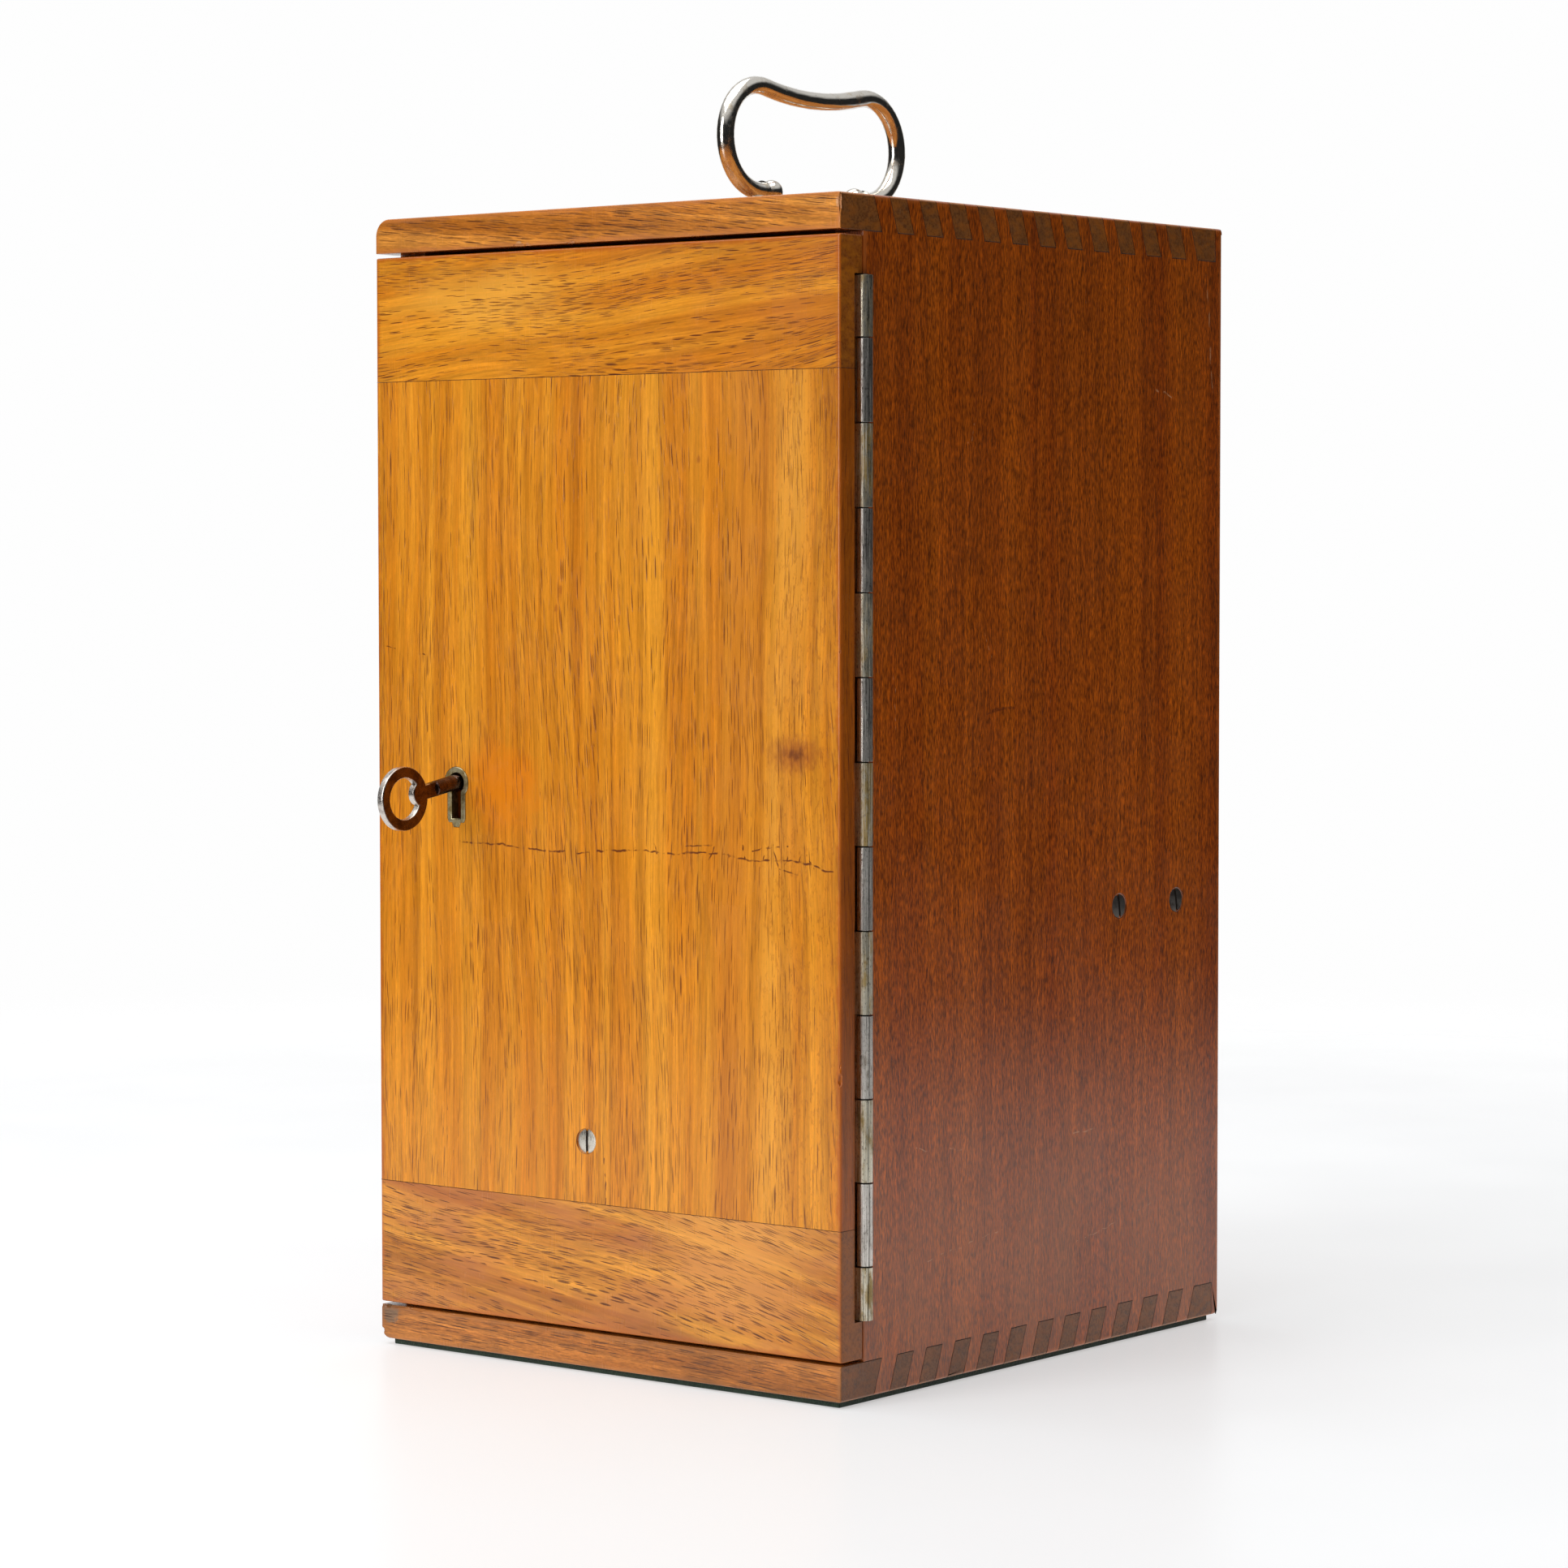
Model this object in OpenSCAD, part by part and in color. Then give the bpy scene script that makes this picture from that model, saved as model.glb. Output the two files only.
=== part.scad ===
// Wooden microscope case: a finger-jointed box with a full-length hinged door,
// a cupboard lock with its key, and a swinging bail handle on the top.
// X runs to the right, the door faces -Y, Z is up, and the origin is the
// middle of the felt on the floor. All sizes are in millimetres.

/* [Case] */
// Width across the two sides
case_w = 190; // [170:1:230]
// Depth from the front of the door to the rear edge
case_d = 208; // [180:1:250]
// Height from the floor to the top board, felt included
case_h = 366; // [320:1:420]
// Thickness of the top, bottom and side boards
board_t = 11; // [9:0.5:13]
// Thickness of the back panel
back_t = 6; // [4:0.5:8]
// How far the back panel laps into the rebate of each board
rebate_w = 5; // [3:0.5:6]
// Clearance of the back panel in its rebate
rebate_gap = 0.1; // [0.05:0.05:0.5]
// Thickness of the felt under the bottom board
felt_t = 2; // [1:0.5:4]
// How far the felt stays inside the edge of the bottom board
felt_inset = 2; // [1:0.5:5]
// Worn rounding of the long top left edge
round_top_left = 5.5; // [1:0.5:7]
// Worn rounding of the long bottom left edge
round_bottom_left = 3.5; // [1:0.5:5]
// Rounding of the two long right edges
round_right = 1; // [0.5:0.5:3]
// Worn rounding of the rear bottom edge
round_rear = 2.5; // [0.5:0.5:3]

/* [Finger joints] */
// Length of the wide first tail, on the outer face
first_tail = 16.5; // [15:0.5:20]
// Width of the pin behind the first tail
first_pin = 8; // [5:0.5:10]
// Distance from one tail to the next
finger_pitch = 15; // [12:0.5:20]
// Width of each tail along the edge
tail_w = 8.2; // [6:0.1:9]
// How far each tail leans to the rear through the board
finger_slant = 4; // [0:0.5:5]
// Strip of the side board behind the last tail
rear_lip = 4; // [3:0.5:6]
// Glue line between the faces of a joint
joint_gap = 0.05; // [0.02:0.01:0.1]

/* [Door] */
// Thickness of the door
door_t = 11; // [9:0.5:13]
// Gap between the door and the top board
door_gap_top = 1.4; // [0.5:0.1:3]
// Gap between the door and the bottom board
door_gap_bottom = 1; // [0.5:0.1:3]
// Gap between the door and the front edges of the sides
door_gap_back = 0.5; // [0.3:0.1:1]
// Height of the rail across each end of the door
rail_h = 40; // [30:1:50]
// Length of the tongue on the panel
tongue_l = 6; // [4:0.5:10]
// Thickness of the tongue
tongue_t = 4; // [3:0.5:5]
// How far the tongue stops short of the door's edges
tongue_stop = 12; // [12:0.5:20]
// Clearance of the tongue in its groove
groove_gap = 0.1; // [0.05:0.05:0.5]

/* [Hinge] */
// Distance from each end of the hinge to the end of the door
hinge_end_gap = 11.8; // [8:0.1:20]
// Distance from one knuckle to the next
knuckle_pitch = 25.5; // [20:0.5:32]
// Length of the cut knuckle at the bottom
hinge_first = 16.6; // [12:0.1:20]
// Outer radius of the knuckles
knuckle_r = 2.45; // [2.2:0.05:2.8]
// Gap between neighbouring knuckles
knuckle_gap = 0.3; // [0.2:0.1:0.5]
// Width of the flat that runs from each of the door's knuckles under the door's edge
knuckle_flat = 2.6; // [2.5:0.1:3]
// How far that flat lies behind the front of the knuckle
knuckle_flat_set = 0.1; // [0.05:0.05:0.3]
// Depth of the rebate in the door's edge that makes room for the knuckles
door_rebate_d = 4; // [3:0.1:5]
// Radius of the hinge pin
hinge_pin_r = 1; // [0.8:0.05:1.2]
// Radial clearance of the pin in the knuckles
hinge_pin_gap = 0.05; // [0.02:0.01:0.1]
// How far the hinge axis stands outside the case
hinge_out = 0.6; // [0.4:0.1:1]
// Thickness of each leaf
leaf_t = 0.9; // [0.7:0.1:1.2]
// Gap between the two closed leaves
leaf_gap = 0.2; // [0.1:0.05:0.4]
// Bare strip of the board's edge inside each leaf
leaf_margin = 0.5; // [0.3:0.1:1]
// Room round the hinge in the wood
mortise_gap = 0.2; // [0.1:0.05:0.4]
// Distance from one hinge screw to the next
hinge_screw_pitch = 45; // [35:1:60]
// Least distance from a hinge screw to the end of the leaf
hinge_screw_end = 20; // [12:1:30]
// Length of the screws in the door
hinge_screw_l = 8; // [6:0.5:8]
// Length of the screws in the side board
hinge_case_screw_l = 12; // [8:0.5:16]
// Head radius of the hinge screws
hinge_head_r = 2.3; // [2:0.1:2.6]
// Shank radius of the hinge screws
hinge_shank_r = 1.2; // [1:0.1:1.4]

/* [Lock] */
// Distance from the door's left edge to the key's axis
lock_x = 34.3; // [32:0.1:40]
// Height of the key's axis above the door's lower edge
lock_z = 170.8; // [120:0.1:200]
// Length of the lock along the door
lock_w = 44; // [42:1:60]
// Clearance between the closed lock and the side board
lock_edge_gap = 1.5; // [1:0.1:3]
// Height of the lock's cap above the key's axis
cap_up = 20; // [18:0.5:26]
// Depth of the lock's cap below the key's axis
cap_down = 16; // [13:0.5:20]
// Height of the plate's flange above and below the cap
flange_h = 8; // [7:0.5:12]
// Thickness of the lock plate
plate_t = 1.5; // [1:0.1:2]
// Depth of the lock's cap behind the plate
cap_d = 9; // [8:0.5:12]
// Thickness of the cap's wall
cap_wall = 1.2; // [0.8:0.1:1.5]
// Thickness of the bolt
bolt_t = 3; // [2.5:0.1:3.5]
// Height of the bolt
bolt_h = 11; // [10:0.5:12]
// Distance from the key's axis up to the bolt
bolt_up = 4.5; // [4:0.1:5]
// Distance from the plate back to the bolt
bolt_back = 2; // [1.5:0.1:2.5]
// Travel of the bolt when the key makes its turn
bolt_throw = 6; // [4:0.5:7]
// Length of the bolt's tail behind its notch
bolt_tail = 4; // [3:0.5:4]
// Room for the bit beyond its sweep in the bolt's notch
notch_room = 1; // [0.5:0.1:1]
// Clearance round the bolt
bolt_gap = 0.2; // [0.15:0.05:0.3]
// Length of the leaf spring above the bolt
spring_l = 26; // [20:1:30]
// Thickness of that spring
spring_t = 0.5; // [0.3:0.1:0.7]
// Radius of the stud that guides the bolt
stud_r = 1.5; // [1:0.1:1.8]
// Distance from the lock's left end to the guide stud
stud_x = 5; // [4.5:0.1:6]
// Radius of the stud that the pipe key fits over
drill_r = 1.1; // [0.9:0.05:1.2]
// How far that stud reaches forward from the cap's back
drill_l = 13; // [10:0.5:15]
// Radial clearance of that stud in the cap
drill_gap = 0.05; // [0.02:0.01:0.1]
// Radius of the flange that holds that stud on the cap
drill_flange_r = 3; // [2.5:0.1:4]
// Thickness of that flange
drill_flange_t = 1.5; // [1:0.1:2]
// Radius of the lock screws' heads
lock_head_r = 2.6; // [2.2:0.1:3]
// Radius of the lock screws' shanks
lock_shank_r = 1.3; // [1.1:0.1:1.5]
// Distance from the ends of the lock to its screws
lock_screw_end = 7; // [5:0.5:10]
// Length of the lock screws
lock_screw_l = 8; // [6:0.5:9]
// Width of the keyhole liner's round head
liner_w = 10.2; // [9:0.1:12]
// Width of the liner's straight skirt below that
liner_skirt_w = 7.6; // [7:0.1:8.5]
// Height of the keyhole liner
liner_h = 19.3; // [19:0.1:21]
// Step in the liner's foot, on each side
liner_step = 1.2; // [1:0.1:1.4]
// Half the width of the tip of its foot
liner_tip = 1.2; // [0.8:0.1:1.4]
// How deep the liner is let into the door
liner_d = 3; // [2:0.5:5]
// How far the liner stands proud of the door
liner_proud = 0.2; // [0.1:0.1:0.5]
// Radius of the round of the keyhole
keyhole_r = 3.3; // [2.8:0.05:3.5]
// Width of the keyhole's slot
keyhole_slot = 3.8; // [3:0.1:4]
// Depth of the keyhole's slot below the key's axis
keyhole_drop = 11.5; // [11:0.1:12]

/* [Strike] */
// Height of the strike plate
strike_h = 46; // [44:1:60]
// Width of the strike plate
strike_w = 13; // [12:0.5:16]
// Thickness of the strike plate
strike_t = 1.2; // [1:0.1:1.5]
// Clearance of the bolt in the strike
strike_gap = 0.5; // [0.3:0.1:1]
// Distance from the ends of the strike plate to its screws
strike_screw_end = 6; // [4:0.5:7]
// Length of the strike screws
strike_screw_l = 8; // [6:0.5:8]

/* [Key] */
// Radius of the key's pipe
key_r = 2.5; // [2.2:0.05:2.6]
// Clearance of the key's bore on its stud
key_bore_gap = 0.08; // [0.02:0.01:0.1]
// Depth of the bore in the key's pipe
key_bore_l = 14; // [13.5:0.5:18]
// Clearance between the key's end and the cap
key_end_gap = 0.3; // [0.2:0.1:0.5]
// Reach of the bit from the key's axis
bit_r = 9.5; // [8:0.1:10]
// Thickness of the bit
bit_t = 2.2; // [1.6:0.1:2.4]
// Length of the bit along the key
bit_l = 2.4; // [2:0.1:2.6]
// Reach of the key in front of the door
key_out = 36; // [33:0.5:50]
// Length of the bow along the key
bow_l = 21; // [18:0.1:24]
// Height of the bow
bow_h = 20.4; // [17:0.1:24]
// Thickness of the bow
bow_t = 2.6; // [2:0.1:3.2]
// Width of the bow's ring
bow_ring = 3.6; // [3:0.1:4.5]
// Reach of the lobe inside the bow
bow_lobe = 3; // [2:0.1:4]
// Radius of the lobe's round
lobe_r = 4; // [3:0.1:4.5]
// Length of the flat neck between the stem and the bow
neck_l = 6; // [4:0.5:8]
// Height of the flat neck
neck_h = 4.7; // [3.6:0.1:5]
// Distance from the door to the bend in the worn stem
key_bend_y = 2; // [1:0.5:4]
// Angle by which the bent stem droops
key_droop = 10; // [0:1:12]

/* [Handle] */
// How far behind the middle of the top the handle stands
handle_back = 4.4; // [0:0.1:10]
// Distance between the two posts
post_pitch = 44.3; // [40:0.1:60]
// Radius of the ball on each post
ball_r = 3.9; // [3.5:0.1:5]
// Height of the pivots above the top board
pivot_h = 9.6; // [9:0.1:14]
// Radius of the bail's rod
bail_r = 2.9; // [2.5:0.1:3.4]
// Distance from the middle of the bail to the middle of its end
bail_reach = 45.7; // [45:0.1:60]
// Radius of the bend at each end of the bail
bail_bend_r = 17; // [14:0.5:18]
// Dip of the grip below its two crowns
grip_dip = 2.9; // [1:0.1:5]
// Straight run between each crown and the dip
grip_run = 3; // [1:0.5:6]
// Radius of the pivot stubs in the balls
stub_r = 1.6; // [1.3:0.1:2]
// Length of each stub in its ball
stub_l = 4.5; // [3:0.5:5]
// Radial clearance of the stubs
stub_gap = 0.06; // [0.02:0.01:0.1]
// Gap between the collar and the ball
collar_gap = 0.3; // [0.2:0.1:0.5]
// Radius of the collar on the rod's end
collar_r = 3.4; // [3.2:0.1:3.8]
// Width of the collar
collar_w = 1; // [0.6:0.1:1.4]
// Radius of the flange under each ball
flange_r = 6; // [5:0.5:8]
// Thickness of that flange
flange_t = 1.2; // [0.8:0.1:2]
// Radius of the post's shank
shank_r = 2.4; // [2:0.1:3]
// Clearance of the shank in the top board
shank_gap = 0.1; // [0.05:0.05:0.3]
// Thickness of the washers
washer_t = 1; // [0.6:0.1:1.5]
// Radius of the washers
washer_r = 6.5; // [6:0.5:9]
// Width of the nuts across their corners
nut_w = 9.2; // [8:0.1:11]
// Height of the nuts
nut_h = 4; // [3:0.5:5]
// Length of the shank that shows past the nut
shank_end = 1; // [0.5:0.5:3]

/* [Inside] */
// Height of the middle of the cradle board above the floor
cradle_z = 143.5; // [120:0.5:180]
// Depth of the cradle board in front of the back panel
cradle_d = 64; // [56:1:80]
// Width of the notch that steadies the instrument
notch_w = 60; // [50:1:76]
// Depth of the notch
notch_d = 38; // [30:1:46]
// Thickness of the felt in the notch
notch_felt = 2; // [1:0.5:3]
// Clearance of the cradle board between the sides
cradle_gap = 0.1; // [0.05:0.05:0.3]
// Distance from the rear edge to the rear cradle screw
cradle_screw_rear = 26.1; // [20:0.1:32]
// Distance between the two cradle screws on a side
cradle_screw_pitch = 33.4; // [24:0.1:40]
// Head radius of the cradle screws
cradle_head_r = 4; // [3:0.1:4.5]
// Shank radius of the cradle screws
cradle_shank_r = 2; // [1.5:0.1:2.2]
// Turn of the slots in their heads, from upright
cradle_slot_turn = 100; // [0:5:180]
// Length of the cradle screws
cradle_screw_l = 36; // [20:1:38]
// Width of the space for the instrument's foot
foot_w = 116; // [100:1:130]
// Depth of the space for the instrument's foot
foot_d = 130; // [100:1:140]
// Width and height of the cleats on the floor
cleat_s = 10; // [8:0.5:14]
// Distance from the front plane to the cleats
cleat_y = 34; // [32:1:44]
// Distance from the ends of the cleats to their screws
cleat_screw_end = 25; // [10:1:35]
// Length of the cleat screws
cleat_screw_l = 16; // [12:0.5:17]

/* [Door block] */
// Distance of the door screw from the middle, to the left
door_screw_x = 6.2; // [0:0.1:15]
// Height of the door screw above the door's lower edge
door_screw_z = 59.5; // [50:0.5:80]
// Head radius of the door screw
door_head_r = 3.95; // [3:0.05:4.5]
// Shank radius of the door screw
door_shank_r = 2; // [1.5:0.1:2.2]
// Depth of the door screw's head below the face
door_screw_sink = 0.4; // [0.1:0.1:1]
// Length of the door screw
door_screw_l = 22; // [16:0.5:24]
// Width of the block inside the door
block_w = 40; // [30:1:60]
// Height of the block
block_h = 24; // [18:1:36]
// Depth of the block
block_d = 15; // [14:0.5:18]
// Thickness of the felt pad on the block
pad_t = 3; // [2:0.5:4]

/* [Screws] */
// Clearance round every wood screw
screw_gap = 0.05; // [0.02:0.01:0.1]
// Width of the slots in the screw heads
slot_w = 0.9; // [0.6:0.1:1.2]
// Depth of the slots in the screw heads
slot_d = 0.7; // [0.5:0.1:0.9]
// Number of screws down each side of the back panel
back_screw_count = 4; // [3:1:6]
// Distance from the side edges of the back panel to its screws
back_screw_in = 3; // [2.8:0.1:3.4]
// Distance from the ends of the back panel to its first screws
back_screw_end = 24; // [15:1:40]
// Length of the back panel's screws
back_screw_l = 16; // [12:0.5:20]

/* [Hidden] */
$fn = 48;
cut = 1;

// Outer planes and inner faces of the case
x_out = case_w / 2;
x_in = x_out - board_t;
y_front = -case_d / 2;
y_rear = case_d / 2;
z_floor = felt_t + board_t;
z_ceiling = case_h - board_t;
y_side = y_front + door_t + door_gap_back;
y_back = y_rear - back_t;

// Tails: start and end of each along the outer face, from the front plane
tail_start = first_tail + first_pin;
tail_last = case_d - rear_lip;
tail_count = floor((tail_last - tail_start - tail_w) / finger_pitch) + 1;
tails = [
    for (k = [0 : tail_count - 1])
        [tail_start + k * finger_pitch,
         k == tail_count - 1 ? tail_last : tail_start + k * finger_pitch + tail_w]
];

// Door
door_z0 = z_floor + door_gap_bottom;
door_z1 = z_ceiling - door_gap_top;
door_back = y_front + door_t;
panel_z0 = door_z0 + rail_h;
panel_z1 = door_z1 - rail_h;
tongue_x = x_out - tongue_stop;
tongue_y = y_front + door_t / 2;

// Hinge
hinge_x = x_out + hinge_out;
hinge_y = door_back + door_gap_back / 2;
hinge_z0 = door_z0 + hinge_end_gap;
hinge_z1 = door_z1 - hinge_end_gap;
hinge_l = hinge_z1 - hinge_z0;
knuckle_count = floor((hinge_l - hinge_first) / knuckle_pitch) + 2;
leaf_x = x_in + leaf_margin;
leaf_mid_x = (leaf_x + x_out - knuckle_r) / 2;
hinge_screw_count = floor((hinge_l - 2 * hinge_screw_end) / hinge_screw_pitch) + 1;
hinge_screw_z0 = (hinge_z0 + hinge_z1 - (hinge_screw_count - 1) * hinge_screw_pitch) / 2;

// Lock, from the key's axis
key_x = -x_out + lock_x;
key_z = door_z0 + lock_z;
lock_x0 = -x_in + lock_edge_gap;
lock_x1 = lock_x0 + lock_w;
cap_y0 = door_back + plate_t;
cap_y1 = cap_y0 + cap_d;
cap_in_y = cap_y1 - cap_wall;
bolt_y0 = cap_y0 + bolt_back;
bolt_y1 = bolt_y0 + bolt_t;
bolt_z0 = key_z + bolt_up;
bolt_z1 = bolt_z0 + bolt_h;
// The bit meets the bolt while the key turns through this angle from the top
bit_angle = acos(bolt_up / bit_r);
bit_shift = bolt_throw * bit_angle / 360;
notch_half = sqrt(pow(bit_r, 2) - pow(bolt_up, 2)) + bit_t / 2 - bit_shift + notch_room;
notch_mid = key_x + bolt_throw / 2;
notch_top = key_z + norm([bit_r, bit_t / 2]) + 2 * bolt_gap;
bolt_x1 = notch_mid + notch_half + bolt_tail;
stud_at = lock_x0 + stud_x;

// Strike
strike_z = bolt_z0 + bolt_h / 2;
strike_y1 = y_side + strike_w;
strike_screw_z = strike_h / 2 - strike_screw_end;

// Key
key_tip = cap_in_y - key_end_gap;
bit_y = (bolt_y0 + bolt_y1) / 2;
bow_end = y_front - key_out;
bow_y = bow_end + bow_l / 2;
// How far the two lengths of the bent stem run into each other
key_lap = 0.6;

// Handle
pivot_z = case_h + pivot_h;
bend_y = bail_reach - bail_bend_r;
// Radius of the dip and slope of the run, so that run and bends meet smoothly
dip_r = (
    pow(bend_y, 2) + pow(bail_bend_r - grip_dip, 2) - pow(bail_bend_r, 2) - pow(grip_run, 2)
) / (2 * grip_dip);
dip_z = bail_bend_r - grip_dip + dip_r;
dip_angle = atan(bend_y / dip_z) - atan(grip_run / (bail_bend_r + dip_r));
ball_y = post_pitch / 2;
rod_end = ball_y + ball_r + collar_gap;
stub_end_gap = collar_gap;
bend_steps = 24;
dip_steps = 6;
rod_sides = 20;
shank_z = z_ceiling - washer_t - nut_h - shank_end;

// Inside
cradle_y = y_back - cradle_d;
cradle_z0 = cradle_z - board_t / 2;
cradle_screw_y = [
    y_rear - cradle_screw_rear,
    y_rear - cradle_screw_rear - cradle_screw_pitch
];
cleat_x = foot_w / 2;
cleat_y0 = y_front + cleat_y;
cleat_y1 = cleat_y0 + foot_d;
side_cleat_screw_y = [cleat_y0 + cleat_screw_end, cleat_y1 - cleat_screw_end];
rear_cleat_screw_x = foot_w / 2 - cleat_screw_end;

// Door block
block_x = -door_screw_x;
block_z = door_z0 + door_screw_z;

// A box from its lowest to its highest corner
module block(low, high) {
    translate(low) cube(high - low);
}

// A wood screw, head up at the origin and shank down
module screw(head_r, stem_r, length) {
    neck = head_r - stem_r;
    tip = 2 * stem_r;
    difference() {
        rotate_extrude()
            polygon([
                [0, 0], [head_r, 0], [stem_r, -neck],
                [stem_r, tip - length], [0, -length]
            ]);
        translate([-head_r - cut, -slot_w / 2, -slot_d])
            cube([2 * (head_r + cut), slot_w, slot_d + cut]);
    }
}

// The hole that such a screw fills, open above its head
module screw_hole(head_r, stem_r, length, above = cut) {
    neck = head_r - stem_r;
    rotate_extrude()
        polygon([
            [0, above], [head_r + screw_gap, above], [head_r + screw_gap, 0],
            [stem_r + screw_gap, -neck], [stem_r + screw_gap, -length - screw_gap],
            [0, -length - screw_gap]
        ]);
}

// Turns something that stands along Z so that it looks forward, to -Y
module face_front() {
    rotate([90, 0, 0]) children();
}

// Turns something that stands along Z so that it looks back, to +Y
module face_back() {
    rotate([-90, 0, 0]) children();
}

// Draws its children at every finger-jointed end, the right one and the left one
module both_ends() {
    children();
    mirror([1, 0, 0]) children();
}

// One slanting prism across the thickness of a side board. The edges start and
// end on the outer face of the top board, and lean back below it.
module slant_prism(y0, y1, lean0, lean1, low, x0) {
    rise = finger_slant / board_t;
    depth = board_t + low;
    translate([x0, y_front, 0])
        rotate([90, 0, 90])
            linear_extrude(x_out - x0 + cut)
                polygon([
                    [y0 - lean0 * rise * cut, case_h + cut],
                    [y1 - lean1 * rise * cut, case_h + cut],
                    [y1 + lean1 * rise * depth, case_h - depth],
                    [y0 + lean0 * rise * depth, case_h - depth]
                ]);
}

// The tails of the top board at the right end, with a glue line round them
module top_tails() {
    slant_prism(-cut, first_tail + joint_gap, 0, 1, joint_gap, x_in - cut);
    for (k = [0 : tail_count - 1]) {
        last = k == tail_count - 1;
        slant_prism(
            tails[k][0] - joint_gap, tails[k][1] + joint_gap,
            1, last ? 0 : 1, joint_gap, x_in - cut
        );
    }
}

// The spaces between those tails, which the pins of the side board fill
module top_pins() {
    slant_prism(first_tail, tails[0][0], 1, 1, cut, x_in - joint_gap);
    for (k = [1 : tail_count - 1])
        slant_prism(tails[k - 1][1], tails[k][0], 1, 1, cut, x_in - joint_gap);
    slant_prism(tail_last, case_d + cut, 0, 0, cut, x_in - joint_gap);
}

// The same shapes turned over for the bottom board
module to_bottom() {
    translate([0, 0, case_h + felt_t]) mirror([0, 0, 1]) children();
}

// What a worn long edge loses: a square corner outside a round
module edge_waste(r) {
    difference() {
        translate([0, -case_d / 2 - cut, 0]) cube([r + cut, case_d + 2 * cut, r + cut]);
        rotate([90, 0, 0]) cylinder(r = r, h = case_d + 4 * cut, center = true);
    }
}

module worn_edges() {
    translate([x_out - round_right, 0, case_h - round_right]) edge_waste(round_right);
    translate([x_out - round_right, 0, felt_t + round_right])
        mirror([0, 0, 1]) edge_waste(round_right);
    translate([-x_out + round_top_left, 0, case_h - round_top_left])
        mirror([1, 0, 0]) edge_waste(round_top_left);
    translate([-x_out + round_bottom_left, 0, felt_t + round_bottom_left])
        rotate([0, 180, 0]) edge_waste(round_bottom_left);
    translate([0, y_rear - round_rear, felt_t + round_rear])
        difference() {
            translate([-x_out - cut, 0, -round_rear - cut])
                cube([case_w + 2 * cut, round_rear + cut, round_rear + cut]);
            rotate([0, 90, 0]) cylinder(r = round_rear, h = case_w + 4 * cut, center = true);
        }
}

// The rebate for the back panel, cut from all four boards
module back_rebate() {
    lap = rebate_w + rebate_gap;
    block(
        [-x_in - lap, y_back, z_floor - lap],
        [x_in + lap, y_rear + cut, z_ceiling + lap]
    );
}

// Places one screw of the back panel after another
module at_back_screws() {
    span = z_ceiling - z_floor - 2 * back_screw_end;
    for (side = [-1, 1])
        for (k = [0 : back_screw_count - 1])
            translate([
                side * (x_in + rebate_w - back_screw_in), y_rear,
                z_floor + back_screw_end + k * span / (back_screw_count - 1)
            ])
                face_back() children();
}

// Places the cradle screws of the right side
module at_cradle_screws() {
    for (y = cradle_screw_y)
        translate([x_out, y, cradle_z]) rotate([0, 90, 0]) children();
}

// Places the screws that come up through the bottom board into the cleats
module at_cleat_screws() {
    for (side = [-1, 1])
        for (y = side_cleat_screw_y)
            translate([side * (cleat_x + cleat_s / 2), y, felt_t])
                rotate([180, 0, 0]) children();
    for (side = [-1, 1])
        translate([side * rear_cleat_screw_x, cleat_y1 + cleat_s / 2, felt_t])
            rotate([180, 0, 0]) children();
}

// Places the posts of the handle
module at_posts() {
    for (side = [-1, 1])
        translate([0, handle_back + side * ball_y, 0]) children();
}

module top_board() {
    color("sienna")
        difference() {
            block([-x_out, y_front, z_ceiling], [x_out, y_rear, case_h]);
            both_ends() top_pins();
            back_rebate();
            worn_edges();
            at_posts()
                translate([0, 0, z_ceiling - cut])
                    cylinder(r = shank_r + shank_gap, h = board_t + 2 * cut);
        }
}

module bottom_board() {
    color("sienna")
        difference() {
            block([-x_out, y_front, felt_t], [x_out, y_rear, z_floor]);
            to_bottom() both_ends() top_pins();
            back_rebate();
            worn_edges();
            at_cleat_screws() screw_hole(lock_head_r, lock_shank_r, cleat_screw_l);
        }
}

// One side board with its pins, its rebate and the holes that both sides have
module side_board() {
    difference() {
        block([x_in, y_side, felt_t], [x_out, y_rear, case_h]);
        top_tails();
        to_bottom() top_tails();
        back_rebate();
        at_cradle_screws() screw_hole(cradle_head_r, cradle_shank_r, cradle_screw_l);
        at_back_screws() screw_hole(lock_head_r, lock_shank_r, back_screw_l);
    }
}

module right_side() {
    color("saddlebrown")
        difference() {
            side_board();
            worn_edges();
            block(
                [leaf_x - mortise_gap, y_side - cut, hinge_z0 - mortise_gap],
                [x_out + cut, hinge_y + leaf_gap / 2 + leaf_t, hinge_z1 + mortise_gap]
            );
            knuckle_room();
            at_case_hinge_screws()
                screw_hole(hinge_head_r, hinge_shank_r, hinge_case_screw_l);
        }
}

module left_side() {
    color("saddlebrown")
        difference() {
            mirror([1, 0, 0]) side_board();
            worn_edges();
            strike_mortise();
            at_strike_screws() screw_hole(lock_head_r, lock_shank_r, strike_screw_l);
        }
}

module back_panel() {
    color("peru")
        difference() {
            block(
                [-x_in - rebate_w, y_back, z_floor - rebate_w],
                [x_in + rebate_w, y_rear, z_ceiling + rebate_w]
            );
            at_back_screws() screw_hole(lock_head_r, lock_shank_r, back_screw_l);
        }
}

module back_screws() {
    color("gold") at_back_screws() screw(lock_head_r, lock_shank_r, back_screw_l);
}

module base_felt() {
    color("darkgreen")
        block(
            [-x_out + felt_inset + round_bottom_left / 2, y_front + felt_inset, 0],
            [x_out - felt_inset, y_rear - felt_inset - round_rear / 2, felt_t]
        );
}

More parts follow.
